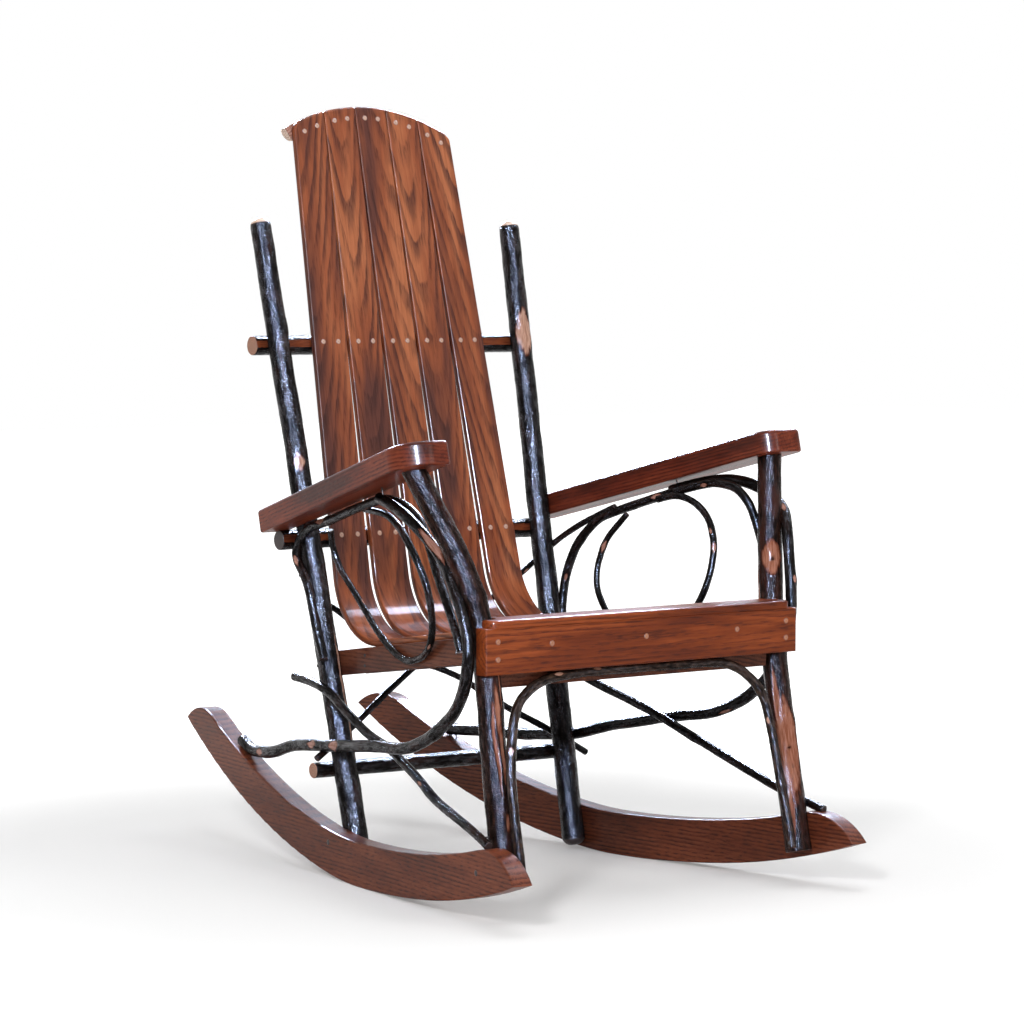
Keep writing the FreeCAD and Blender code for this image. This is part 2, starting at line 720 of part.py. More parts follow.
# Back braces: x as a share of the rear posts' half stance, z as a share of the arm's height,
# and how far behind the posts' middles, in stick radii; one runs on along the right side
back_brace_shares = (
    (-1.20, 0.286, 4.4), (-0.76, 0.371, 4.3), (-0.44, 0.44, 4.0), (-0.29, 0.471, 3.6), (0.14, 0.555, 3.4),
    (0.64, 0.645, 3.6), (0.99, 0.708, 4.2), (1.08, 0.727, 4.4),
)
back_brace_side_shares = ((0.18, 0.775, 4.6), (0.08, 0.82, 4.6), (0.0, 0.848, 4.2), (-0.05, 0.865, 4.0))
other_brace_shares = (
    (1.33, 0.239, 4.4), (0.98, 0.307, 4.4), (0.58, 0.374, 4.6), (0.22, 0.45, 5.0), (0.06, 0.474, 5.4),
    (-0.23, 0.506, 5.6), (-0.48, 0.54, 5.0), (-0.67, 0.587, 4.6), (-0.86, 0.638, 4.4), (-1.0, 0.66, 4.4),
)
# Front arch: x as a share of a front post's half stance, y in stick radii in front of the
# front rail, z as a share of the seat's height
front_arch_shares = (
    (-0.96, 9.0, 0.18), (-0.98, 7.6, 0.36), (-0.98, 6.4, 0.54), (-0.955, 5.5, 0.64), (-0.925, 4.6, 0.71),
    (-0.865, 3.5, 0.765), (-0.76, 2.4, 0.81), (-0.63, 1.4, 0.836), (-0.41, 1.0, 0.845), (0.43, 1.0, 0.845),
    (0.60, 1.0, 0.838), (0.70, 1.5, 0.812), (0.80, 2.3, 0.755), (0.845, 3.2, 0.69), (0.87, 4.2, 0.58),
    (0.885, 5.3, 0.47), (0.90, 6.4, 0.36), (0.92, 7.6, 0.23), (0.925, 8.5, 0.15),
)


def back_route(shares, side_shares, side):
    points = []
    for x_share, z_share, behind_share in shares:
        place = back_plane_point(z_share * arm_span, behind_share * back_brace_radius)
        points.append(vector(x_share * rear_half_stance, place.y, place.z))
    return points + side_route(side_shares, back_brace_radius, side)


def front_route():
    points = []
    for x_share, y_share, z_share in front_arch_shares:
        y = apron_rear_y - y_share * front_arch_radius
        points.append(vector(x_share * front_arch_half, y, z_share * seat_front_height))
    return points


# Fasteners are gathered by node
fasteners = {}


def add_fastener(node, solid):
    fasteners.setdefault(node, []).append(solid)


def unit(way):
    return vector(way.x, way.y, way.z).normalize()


# A countersunk screw whose head lies at a depth below the place on the face
def add_screw(node, place, inwards, length, depth):
    seat = place.add(unit(inwards).multiply(depth))
    head = Part.makeCone(screw_head_radius, screw_radius, screw_head_height, seat, inwards)
    start = seat.add(unit(inwards).multiply(screw_head_height))
    shank = Part.makeCylinder(screw_radius, length - screw_head_height, start, inwards)
    add_fastener(node, head.fuse(shank))


def add_plug(node, place, inwards):
    add_fastener(node, Part.makeCylinder(plug_radius, plug_depth, place, inwards))


def add_nail(node, place, inwards, length):
    start = place.sub(unit(inwards).multiply(nail_proud))
    head = Part.makeCylinder(nail_head_radius, nail_head_height, start, inwards)
    add_fastener(node, head.fuse(Part.makeCylinder(nail_radius, length, start, inwards)))


# A nail through a stick towards the middle line of the piece that it crosses
def add_stick_nail(stick, radius, host_line):
    distance, pairs, details = lines[stick].distToShape(host_line)
    on_stick, on_host = pairs[0]
    inwards = unit(on_host.sub(on_stick))
    place = on_stick.sub(unit(inwards).multiply(radius))
    add_nail("stick_nails", place, inwards, radius * 2 + nail_bite)


# A nail through a stick, at the middle of one of its stretches, in a given direction
def add_end_nail(stick, radius, stretch, inwards):
    edge = lines[stick].Edges[stretch]
    middle = edge.valueAt((edge.FirstParameter + edge.LastParameter) / 2)
    place = middle.sub(unit(inwards).multiply(radius))
    add_nail("stick_nails", place, inwards, radius * 2 + nail_bite)


def straight(*points):
    return Part.Wire([Part.LineSegment(start, end).toShape() for start, end in zip(points, points[1:])])


def at_side(point, side):
    return vector(side * point.x, point.y, point.z)


def front_post_line(side):
    knot_height = front_values(side)[3]
    heights = (rocker_depth, knot_height, arm_front_underside - rocker_thickness)
    return straight(*[at_side(front_axis(z, side), side) for z in heights])


def rear_post_line(side):
    return straight(*[at_side(rear_axis(z), side) for z in (rocker_depth, rear_post_height)])


def add_back_fasteners():
    inwards = back_normal()
    for index in range(slat_count):
        for side in (-1, 1):
            places = []
            for z in (upper_rail_height, lower_rail_height):
                place = back_plane_point(z, back_offset - slat_thickness)
                place.x = slat_x(index, side, z)
                places.append(place)
                add_screw("back_rail_screws", place, inwards, slat_screw_length, plug_depth)
            x = slat_x(index, side, back_height)
            reach = back_arc_radius - slat_plug_top_inset
            rise = math.sqrt(reach ** 2 - (x - back_arc_x) ** 2)
            place = arc_centre(back_offset - slat_thickness).add(back_direction().multiply(rise))
            place.x = x
            places.append(place)
            add_screw("top_cleat_screws", place, inwards, cleat_screw_length, plug_depth)
            for place in places:
                add_plug("back_plugs", place, inwards)
            y = apron_rear_y + front_rail_thickness / 2
            down = vector(0, seat_direction().z, -seat_direction().y)
            place = vector(0, y, seat_height(y)).sub(unit(down).multiply(slat_thickness))
            middle, half = slat_edge(index, 1)
            place.x = middle + side * (half - slat_plug_inset)
            add_screw("seat_screws", place, down, seat_screw_length, seat_screw_sink)


def add_apron_fasteners():
    top = seat_front_height + slat_thickness
    inwards = vector(0, 1, 0)
    spots = [(0, apron_rail_plug_drop)]
    for side in (-1, 1):
        spots.append((side * apron_rail_plug_x, apron_rail_plug_drop))
        spots.append((side * apron_post_plug_x, apron_post_plug_drop))
        spots.append((side * apron_post_plug_x, apron_second_plug_drop))
    for x, drop in spots:
        place = vector(x, apron_front_y, top - drop)
        add_plug("apron_plugs", place, inwards)
        add_screw("apron_screws", place, inwards, apron_screw_length, plug_depth)


def add_rocker_fasteners(side):
    toe = math.radians(rocker_toe_degrees)
    inwards = vector(-side * math.cos(toe), -math.sin(toe), 0)
    for post, lift in ((front_axis(rocker_depth, side), rocker_front_plug_lift),
                       (rear_axis(rocker_depth), rocker_rear_plug_lift)):
        along = post.y * math.cos(toe) - (post.x - rocker_half_span) * math.sin(toe)
        place = vector(side * (rocker_half_span - along * math.sin(toe)), along * math.cos(toe),
                       rocker_bottom(along) + lift)
        add_plug("rocker_plugs", place, inwards)
        add_screw("rocker_screws", place, inwards, rocker_screw_length, plug_depth)


def add_arm_fasteners(side):
    slope = math.radians(arm_slope_degrees)
    up = vector(0, math.sin(slope), math.cos(slope))
    top = at_side(front_axis(arm_front_underside, side), side)
    knot = at_side(front_axis(front_values(side)[3], side), side)
    post_way = unit(top.sub(knot))
    underside = vector(0, top.y, arm_underside(top.y))
    rise = arm_thickness - top.sub(underside).dot(up)
    place = top.add(unit(post_way).multiply(rise / post_way.dot(up)))
    add_plug("arm_plugs", place, unit(up).multiply(-1))
    add_screw("arm_screws", place, unit(post_way).multiply(-1), arm_front_screw_length,
              plug_depth + screw_head_height)
    rail = pole_end(lower_rail_height, 0, back_rail_radius, side)
    rail.x = side * (arm_rear_inner + arm_rear_screw_inset)
    underside = vector(rail.x, rail.y, arm_underside(rail.y))
    place = rail.add(unit(up).multiply(arm_thickness - rail.sub(underside).dot(up)))
    add_plug("arm_plugs", place, unit(up).multiply(-1))
    add_screw("arm_screws", place, unit(up).multiply(-1), arm_rear_screw_length, plug_depth)


# Nails that hold the poles to the rear posts, from behind
def add_pole_nails(side):
    stretcher_height = stretcher_left_height if side < 0 else stretcher_right_height
    for z, radius in ((upper_rail_height, back_rail_radius), (lower_rail_height, back_rail_radius),
                      (stretcher_height, stretcher_radius)):
        place = pole_end(z, 0, radius, side).add(back_normal().multiply(radius))
        add_nail("pole_nails", place, back_normal().multiply(-1), radius * 2 + pole_nail_bite)


# Nails that hold the seat frame together
def add_frame_nails(side):
    inwards = vector(-side, 0, 0)
    rear = rear_axis(seat_height(rear_axis(seat_front_height).y) - seat_rail_height / 2)
    for spread in (-post_nail_spread, post_nail_spread):
        radius = rear_radius(rear.z)
        out = math.sqrt(radius ** 2 - spread ** 2)
        place = vector(side * (rear.x + out), rear.y + spread, rear.z)
        add_nail("seat_frame_nails", place, inwards, radius + out + rail_nail_bite)
    for row in (0, 1):
        drop = rail_nail_drop + row * rail_nail_spacing
        y = rear_rail_y + rear_rail_thickness / 2
        place = vector(side * side_rail_x(y, side), y, seat_height(y) - drop)
        add_nail("seat_frame_nails", place, inwards, seat_rail_thickness + nail_bite)
        x = side_rail_x(apron_rear_y, side) - seat_rail_thickness / 2
        place = vector(side * x, apron_rear_y, seat_height(apron_rear_y) - drop)
        add_nail("seat_frame_nails", place, vector(0, 1, 0), front_rail_thickness + nail_bite)


def add_side_stick_nails(name, side):
    for stick, radius in (("side_hoop", side_hoop_radius), ("side_brace", side_brace_radius),
                          ("arm_arch", arm_arch_radius)):
        add_stick_nail(stick + name, radius, rear_post_line(side))
        add_stick_nail(stick + name, radius, front_post_line(side))
    slope = math.radians(arm_slope_degrees)
    up = vector(0, math.sin(slope), math.cos(slope))
    add_end_nail("side_hoop" + name, side_hoop_thin_radius, -1, up)
    add_end_nail("side_hoop" + name, side_hoop_radius, 0, vector(0, 0, -1))


pieces = {}
lines = {}
pieces["rocker_right"] = make_rocker()
pieces["rocker_left"] = mirrored(pieces["rocker_right"])
pieces["arm_right"] = make_arm(arm_right_front_outer, arm_right_inner_round, arm_right_outer_round)
pieces["arm_left"] = mirrored(make_arm(arm_left_front_outer, arm_left_inner_round, arm_left_outer_round))
pieces["apron_board"] = make_apron()
pieces["rear_post_right"] = make_rear_post()
pieces["rear_post_left"] = mirrored(pieces["rear_post_right"])
pieces["front_post_right"] = make_front_post(1)
pieces["front_post_left"] = mirrored(make_front_post(-1))
pieces["front_seat_rail"] = make_front_rail()
pieces["side_seat_rail_right"] = make_side_rail(1)
pieces["side_seat_rail_left"] = mirrored(make_side_rail(-1))
pieces["rear_seat_rail"] = make_rear_rail()
slat_sheet = make_slat_sheet()
for number in range(slat_count):
    pieces["slat_%d" % (number + 1)] = make_slat(slat_sheet, number)
pieces["seat_front_cap"] = make_cap()
pieces["upper_back_rail"] = make_pole(
    upper_rail_height, upper_rail_height, upper_rail_left_stub, upper_rail_right_stub, back_rail_radius)
pieces["lower_back_rail"] = make_pole(
    lower_rail_height, lower_rail_height, lower_rail_left_stub, lower_rail_right_stub, back_rail_radius)
pieces["rear_stretcher"] = make_pole(
    stretcher_left_height, stretcher_right_height, stretcher_left_stub, stretcher_right_stub, stretcher_radius)
pieces["top_cleat"] = make_top_cleat()
for name, side, hoop, arch, ring, brace in (
    ("_left", -1, hoop_left_shares, arch_left_shares, ring_left_shares, brace_left_shares),
    ("_right", 1, hoop_right_shares, arch_right_shares, ring_right_shares, brace_right_shares),
):
    for stick, shares, radius, thin_radius in (
        ("side_hoop", hoop, side_hoop_radius, side_hoop_thin_radius),
        ("side_brace", brace, side_brace_radius, side_brace_thin_radius),
        ("arm_arch", arch, arm_arch_radius, arm_arch_thin_radius),
        ("side_ring", ring, side_ring_radius, side_ring_thin_radius),
    ):
        lines[stick + name] = stick_line(side_route(shares, radius, side))
        pieces[stick + name] = bent_stick(lines[stick + name], radius, thin_radius)
for stick, route, radius, thin_radius in (
    ("front_arch", front_route(), front_arch_radius, front_arch_thin_radius),
    ("back_brace_to_right", back_route(back_brace_shares, back_brace_side_shares, 1),
     back_brace_radius, back_brace_thin_radius),
    ("back_brace_to_left", back_route(other_brace_shares, (), -1), back_brace_radius, back_brace_thin_radius),
):
    lines[stick] = stick_line(route)
    pieces[stick] = bent_stick(lines[stick], radius, thin_radius)

# A later piece is cut to fit round the earlier ones that it touches
order = list(pieces)
for position, name in enumerate(order):
    shape = pieces[name]
    for other in order[:position]:
        if shape.BoundBox.intersect(pieces[other].BoundBox):
            trimmed = shape.cut(pieces[other])
            if trimmed.Volume < shape.Volume:
                shape = trimmed
    pieces[name] = largest(shape)

add_back_fasteners()
add_apron_fasteners()
for name, side in (("_left", -1), ("_right", 1)):
    add_rocker_fasteners(side)
    add_arm_fasteners(side)
    add_pole_nails(side)
    add_frame_nails(side)
    add_side_stick_nails(name, side)
    add_stick_nail("front_arch", front_arch_radius, front_post_line(side))
    add_stick_nail("back_brace_to_right", back_brace_radius, rear_post_line(side))
    add_stick_nail("back_brace_to_left", back_brace_radius, rear_post_line(side))

# Every piece is cut for the screws, plugs and nails that reach into it
for name, shape in pieces.items():
    for solids in fasteners.values():
        near = [solid for solid in solids if solid.BoundBox.intersect(shape.BoundBox)]
        near = [solid for solid in near if solid.common(shape).Volume > 0]
        if near:
            shape = shape.cut(near)
    pieces[name] = largest(shape)

os.makedirs("parts", exist_ok=True)
for name, solids in fasteners.items():
    pieces[name] = Part.makeCompound(solids)
for name, shape in pieces.items():
    shape.exportStep("parts/%s.step" % name)
    print(name, len(shape.Solids), round(shape.Volume), shape.isValid())
weight = sum(shape.Volume for shape in pieces.values())
balance = vector(0, 0, 0)
for shape in pieces.values():
    for solid in shape.Solids:
        balance = balance.add(solid.CenterOfMass.multiply(solid.Volume / weight))
print("centre of mass", balance)
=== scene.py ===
import bmesh
import bpy
from math import acos, asin, atan2, ceil, copysign, cos, degrees, exp, hypot, pi
from math import radians, sin, sqrt, tan, tau
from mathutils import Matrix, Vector, noise


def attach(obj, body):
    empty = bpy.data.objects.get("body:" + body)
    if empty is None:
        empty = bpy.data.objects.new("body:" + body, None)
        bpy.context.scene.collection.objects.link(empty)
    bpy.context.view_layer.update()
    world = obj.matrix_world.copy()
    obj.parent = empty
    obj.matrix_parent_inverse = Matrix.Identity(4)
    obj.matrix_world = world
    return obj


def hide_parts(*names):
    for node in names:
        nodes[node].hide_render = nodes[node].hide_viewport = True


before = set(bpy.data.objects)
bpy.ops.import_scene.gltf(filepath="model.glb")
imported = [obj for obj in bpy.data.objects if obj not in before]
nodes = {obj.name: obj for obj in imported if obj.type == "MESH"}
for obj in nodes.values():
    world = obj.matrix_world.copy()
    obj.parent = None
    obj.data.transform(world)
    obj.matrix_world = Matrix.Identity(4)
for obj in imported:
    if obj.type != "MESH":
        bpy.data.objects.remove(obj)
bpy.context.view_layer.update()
scene = bpy.context.scene
mm = 0.001

# The chair's own sizes, in millimetres and degrees
chair = {
    "halfRunner": 522.0, "armHeight": 602.5, "seatHeight": 385.0, "apronRear": -385.0,
    "sideRear": (47.0, 217.0), "sideFront": (-372.0, 276.0), "frontStance": 256.0,
    "rearStance": 194.5, "rearFoot": 4.3, "rearLean": 12.65, "rearSplay": 2.05, "rearTop": 952.0,
    "backOffset": 16.0, "seatSlope": 7.8, "armSlope": 13.8, "runnerToe": 7.6,
}
# Where the photograph is seen from, for the camera and to turn each stick's patches that way
viewer = {"place": (-3.0846, -4.2175, 0.8556), "yaw": 36.82, "pitch": 3.667, "rise": 0.06, "lens": 125.36}


def tangent(angle):
    return tan(radians(angle))


def viewerWay():
    yaw = radians(viewer["yaw"])
    return Vector((-sin(yaw), -cos(yaw), viewer["rise"])).normalized()


# The frame's node that a piece stands for: side_hoop_left for sideHoopLeft, slat_1 for slat1
def nodeFor(name):
    return "".join(letter if letter.islower() else "_" + letter.lower() for letter in name)


# Places of the chair's right side, put on the side that a piece's name ends with
def sided(name, places):
    side = -1 if name.endswith("Left") else 1
    return [Vector((side * place.x, place.y, place.z)) for place in places]


def addObject(name, data):
    item = bpy.data.objects.new(name, data)
    scene.collection.objects.link(item)
    return item


# A colour written as the screen shows it, turned to the linear values that a shader wants
def colour(text):
    parts = []
    for start in (0, 2, 4):
        value = int(text[start:start + 2], 16) / 255
        parts.append(value / 12.92 if value <= 0.04045 else ((value + 0.055) / 1.055) ** 2.4)
    return (parts[0], parts[1], parts[2], 1.0)


# Adds a node. An input, by name or by its count among those in use, takes a socket, a number or a
# colour. Stops make a ramp. What comes back is the output named, or the first in use.
def addNode(material, kind, inputs, settings={}, output=None, stops=()):
    node = material.node_tree.nodes.new("ShaderNode" + kind)
    for name, value in settings.items():
        setattr(node, name, value)
    used = [socket for socket in node.inputs if socket.enabled]
    for place, value in inputs.items():
        socket = used[place] if isinstance(place, int) else node.inputs[place]
        if isinstance(value, bpy.types.NodeSocket):
            material.node_tree.links.new(value, socket)
        else:
            socket.default_value = colour(value) if isinstance(value, str) else value
    for index, (place, tone) in enumerate(stops):
        elements = node.color_ramp.elements
        element = elements[index] if index < 2 else elements.new(place)
        element.position = place
        element.color = colour(tone) if isinstance(tone, str) else (tone, tone, tone, 1.0)
    if output:
        return node.outputs[output]
    return next((socket for socket in node.outputs if socket.enabled), None)


def startMaterial(name):
    material = bpy.data.materials.new(name)
    material.use_nodes = True
    return material


# The shader's sockets take a node's output where the surface varies, and plain values elsewhere
def setShader(material, sockets):
    shader = material.node_tree.nodes["Principled BSDF"]
    for name, value in sockets.items():
        if isinstance(value, bpy.types.NodeSocket):
            material.node_tree.links.new(value, shader.inputs[name])
        else:
            shader.inputs[name].default_value = value
    return material


multiply, multiplyAdd, asLength = [{"operation": kind} for kind in ("MULTIPLY", "MULTIPLY_ADD", "LENGTH")]
asColour = {"data_type": "RGBA"}

# Stained oak board: growth rings cut by the saw into flames and stripes, with dark open pores in
# each ring's first wood, broad clouds of stain and gloss varnish over all. The eye gets strong
# figure along the board, no two boards alike, and a soft wet shine. A ring is its width in metres
# and the other patterns are repeats a metre: a fibre is 3 mm across, a pore 2 mm.
oakLook = {
    "attribute": None, "turn": (0, 0, 0), "shift": (0.11, 0.05, 0.0),
    "ring": 0.0056, "ringShare": 0.85, "taper": 0.10, "warp": 0.016, "warpScale": 9.0,
    "ripples": 70.0, "clouds": 22.0, "breaks": 40.0, "fibres": 330.0, "pores": 480.0,
    "fibreShare": 0.6, "poreShare": 0.6, "poreTone": "301814",
    "light": "9C5632", "middle": "84442A", "dark": "3F1E1B", "streak": "5C2F29",
    "rough": 0.36, "shine": 0.03, "coat": 0.2, "coatRoughness": 0.13, "bump": 0.35,
}


def stainedOak(name, **changes):
    look = dict(oakLook, **changes)
    oak = startMaterial(name)
    if look["attribute"]:
        place = addNode(oak, "Attribute", {}, {"attribute_name": look["attribute"]}, "Vector")
    else:
        place = addNode(oak, "TexCoord", {}, output="Object")
    turn = [radians(angle) for angle in look["turn"]]
    board = addNode(oak, "Mapping", {"Vector": place, "Rotation": turn, "Location": look["shift"]})
    # the board's own places, squeezed along the grain
    across, fibreWay, poreWay, cloudWay = [
        addNode(oak, "Mapping", {"Vector": board, "Scale": (1, 1, squeeze)})
        for squeeze in (0, 0.04, 0.10, 0.14)]
    wander, ripple, clouds, uneven, fibre, pores = [
        addNode(oak, "TexNoise", {"Vector": way, "Scale": look[scale], "Detail": detail, "Roughness": 0.55})
        for way, scale, detail in (
            (cloudWay, "warpScale", 3.0), (cloudWay, "ripples", 3.0), (cloudWay, "clouds", 3.0),
            (cloudWay, "breaks", 2.0), (fibreWay, "fibres", 4.0), (poreWay, "pores", 2.0))]
    # how far from the tree's heart, and so in which ring
    ring = addNode(oak, "VectorMath", {0: across}, asLength, "Value")
    along = addNode(oak, "SeparateXYZ", {"Vector": board}, output="Z")
    for value, share in ((along, look["taper"]), (wander, look["warp"]), (ripple, 0.3 * look["warp"])):
        ring = addNode(oak, "Math", {0: value, 1: share, 2: ring}, multiplyAdd)
    line = addNode(oak, "CombineXYZ", {"X": ring})
    rings = addNode(oak, "TexWave", {"Vector": line, "Scale": tau / 20 / look["ring"], "Distortion": 0.0},
                    {"bands_direction": "X", "wave_profile": "SAW"}, "Fac")
    firstWood, broken, tone, fibreTone, openPores, sheen = [
        addNode(oak, "ValToRGB", {"Fac": source}, stops=stops) for source, stops in (
            (rings, ((0.0, 0.15), (0.07, 1.0), (0.34, 0.75), (0.62, 0.0))),
            (uneven, ((0.36, 0.12 * look["ringShare"]), (0.60, look["ringShare"]))),
            (clouds, ((0.36, look["streak"]), (0.47, look["middle"]), (0.60, look["light"]))),
            (fibre, ((0.32, 0.62), (0.5, 1.0), (0.7, 1.18))),
            (pores, ((0.47, 0.0), (0.62, 1.0))),
            (clouds, ((0.3, look["rough"] - 0.06), (0.7, look["rough"] + 0.08))))]
    stripe = addNode(oak, "Math", {0: firstWood, 1: broken}, multiply)
    tone = addNode(oak, "Mix", {0: stripe, 1: tone, 2: look["dark"]}, asColour)
    tone = addNode(oak, "Mix", {0: look["fibreShare"], 1: tone, 2: fibreTone},
                   dict(asColour, blend_type="MULTIPLY"))
    inRing = addNode(oak, "Math", {0: firstWood, 1: 0.75, 2: 0.25}, multiplyAdd)
    openPores = addNode(oak, "Math", {0: openPores, 1: inRing}, multiply)
    stained = addNode(oak, "Math", {0: openPores, 1: look["poreShare"]}, multiply)
    tone = addNode(oak, "Mix", {0: stained, 1: tone, 2: look["poreTone"]}, asColour)
    height = 0.0
    for source, share in ((fibre, 0.7), (openPores, -0.8)):
        height = addNode(oak, "Math", {0: source, 1: share, 2: height}, multiplyAdd)
    bump = addNode(oak, "Bump", {"Strength": look["bump"], "Distance": 0.5 * mm, "Height": height})
    return setShader(oak, {
        "Base Color": tone, "Normal": bump, "Roughness": sheen, "Specular IOR Level": look["shine"],
        "Coat Weight": look["coat"], "Coat Roughness": look["coatRoughness"],
    })


# A shift of two metres or more puts the heart so far off that the rings show as straight lines
slatOak = stainedOak(
    "slat oak, reddish stain and gloss varnish", attribute="grain", shift=(0.0, 0.0, 0.0),
    ring=0.0085, ringShare=0.75, taper=-0.115, warp=0.020, warpScale=7.0, clouds=15.0, fibreShare=0.5,
    poreShare=0.5, light="AD6743", middle="8E4C2F", dark="3F2320", streak="5C342B", coat=0.25,
    coatRoughness=0.11)
apronOak = stainedOak(
    "apron oak, reddish stain and gloss varnish", turn=(0, -90, 0), shift=(0.37, 0.42, 0.07), ring=0.0062,
    ringShare=0.55, taper=0.02, warp=0.02, light="934620", middle="7B3717", dark="4E200F",
    streak="632A13", coat=0.14)
armOak = stainedOak(
    "arm oak, brown stain and gloss varnish", turn=(90 + chair["armSlope"], 0, 0), shift=(0.02, 2.63, 0.0),
    ring=0.0052, ringShare=0.6, taper=0.03, warp=0.01, light="7C3822", middle="692C1B", dark="38150D",
    streak="4B2015", coat=0.16, bump=0.5)
railOak = stainedOak(
    "seat rail oak, brown stain and satin varnish", turn=(90, 0, 90), shift=(2.05, 0.28, 0.0),
    taper=0.02, warp=0.01, light="6E3F2C", middle="5E3424", dark="3A1D15", streak="4A271D", coat=0.1)
rockerOak = stainedOak(
    "runner oak, brown stain and satin varnish", turn=(90, 0, 90), shift=(2.21, 0.12, 0.0), ring=0.0060,
    ringShare=0.7, taper=0.012, warp=0.008, poreShare=0.8, light="7A4029", middle="6E3823",
    dark="38190F", streak="602F1D", coat=0.22, coatRoughness=0.14)

# Hickory bark under thick gloss varnish: almost black with brown in it, ridged along the stick
# and finely pitted, so that highlights break into pale bluish specks. Where the bark is scraped
# away, tan wood shows with a ragged brown edge, and a cut twig leaves a dark eye. Patterns are
# repeats a metre: a ridge is 4 mm across, a pit 2 mm.
barkLook = {
    "coarse": 260.0, "broad": 0.22, "fine": 560.0, "pits": 430.0, "grain": 420.0,
    "dark": "090707", "middle": "120E0C", "light": "211916", "fleck": "3A302B", "fleckShare": 0.35,
    "warm": "321A13", "warmShare": 0.5, "ragged": 0.9, "edge": "5A3022", "eye": "2E1A12",
    "wood": "C29A88", "woodDark": "9C7460", "bump": 0.5,
    "glossy": 0.09, "dull": 0.19, "shine": 0.55, "coat": 0.03, "tint": "E4ECFF",
}


def varnishedBark(name, **changes):
    look = dict(barkLook, **changes)
    bark = startMaterial(name)
    place = addNode(bark, "Attribute", {}, {"attribute_name": "bark"}, "Vector")
    peel, eye = [
        addNode(bark, "Attribute", {}, {"attribute_name": layer}, "Fac") for layer in ("peel", "eye")]
    ridgeWay, grainWay = [
        addNode(bark, "Mapping", {"Vector": place, "Scale": (1, 1, squeeze)}) for squeeze in (0.28, 0.12)]
    coarse, broad, fine, grain = [
        addNode(bark, "TexNoise", {"Vector": way, "Scale": scale, "Detail": detail, "Roughness": 0.55})
        for way, scale, detail in (
            (ridgeWay, look["coarse"], 5.0), (ridgeWay, look["coarse"] * look["broad"], 3.0),
            (place, look["fine"], 4.0), (grainWay, look["grain"], 4.0))]
    pits = addNode(bark, "TexVoronoi", {"Vector": place, "Scale": look["pits"]}, output="Distance")
    ragged = addNode(bark, "Math", {0: coarse, 1: 1.5 * look["ragged"], 2: 0.3 - 0.75 * look["ragged"]},
                     multiplyAdd)
    mask = addNode(bark, "Math", {0: peel, 1: 1.5, 2: ragged}, dict(multiplyAdd, use_clamp=True))
    # the last three make the pool: varnish lies thick in some patches and has sunk into others
    tone, warm, fleck, wood, inner, outer, twig, gloss, pool, poolBroad, poolFine = [
        addNode(bark, "ValToRGB", {"Fac": source}, stops=stops) for source, stops in (
            (coarse, ((0.32, look["dark"]), (0.52, look["middle"]), (0.70, look["light"]))),
            (broad, ((0.50, 0.0), (0.66, look["warmShare"]))),
            (fine, ((0.58, 0.0), (0.74, look["fleckShare"]))),
            (grain, ((0.36, look["woodDark"]), (0.62, look["wood"]))),
            (mask, ((0.30, 0.0), (0.60, 1.0))),
            (mask, ((0.12, 0.0), (0.32, 1.0))),
            (eye, ((0.1, 0.0), (0.4, 0.35), (0.6, 0.95))),
            (fine, ((0.35, look["glossy"]), (0.7, look["dull"]))),
            (coarse, ((0.40, 0.08 * look["shine"]), (0.60, look["shine"]))),
            (broad, ((0.36, 0.2), (0.56, 1.0))),
            (fine, ((0.43, 0.2), (0.56, 1.0))))]
    tone = addNode(bark, "Mix", {0: warm, 1: tone, 2: look["warm"]}, asColour)
    tone = addNode(bark, "Mix", {0: fleck, 1: tone, 2: look["fleck"]}, asColour)
    scraped = addNode(bark, "Mix", {0: inner, 1: look["edge"], 2: wood}, asColour)
    scraped = addNode(bark, "Mix", {0: twig, 1: scraped, 2: look["eye"]}, asColour)
    tone = addNode(bark, "Mix", {0: outer, 1: tone, 2: scraped}, asColour)
    height = 0.0
    for source, share in ((coarse, 0.45), (fine, 0.85), (pits, 0.5)):
        height = addNode(bark, "Math", {0: source, 1: share, 2: height}, multiplyAdd)
    # scraped wood is smooth and less glossy
    rough, unpeeled = [addNode(bark, "Math", {0: mask, 1: share, 2: whole}, multiplyAdd)
                       for share, whole in ((-1.0, 1.12), (-0.7, 1.0))]
    height = addNode(bark, "Math", {0: height, 1: rough}, multiply)
    for share in (poolBroad, poolFine, unpeeled):
        pool = addNode(bark, "Math", {0: pool, 1: share}, multiply)
    bump = addNode(bark, "Bump", {"Strength": look["bump"], "Distance": 1.6 * mm, "Height": height})
    return setShader(bark, {
        "Base Color": tone, "Normal": bump, "Coat Normal": bump, "Roughness": gloss,
        "Specular IOR Level": pool, "Specular Tint": colour(look["tint"]),
        "Coat Weight": look["coat"], "Coat Roughness": 0.12,
    })


postBark = varnishedBark("post bark, black under gloss varnish")
frontPostBark = varnishedBark(
    "front post bark, brown-black under gloss varnish", middle="21130E", light="382017", warm="3F1F15",
    warmShare=0.6, ragged=0.7, edge="5E3020", wood="A4705C", woodDark="844E3A", shine=0.24)
stickBark = varnishedBark(
    "bent stick bark, black under gloss varnish", coarse=320.0, middle="110D0B", light="1E1713",
    fleckShare=0.15, wood="B4877A", woodDark="8C6252", bump=0.35)
archBark = varnishedBark(
    "front arch bark, browner under gloss varnish", coarse=300.0, middle="2B1F18", light="4A3527",
    warm="3A241A", warmShare=0.7)
railBark = varnishedBark(
    "back rail bark, planed and stained in front", edge="26130D", wood="7C4026", woodDark="5E2F1F")

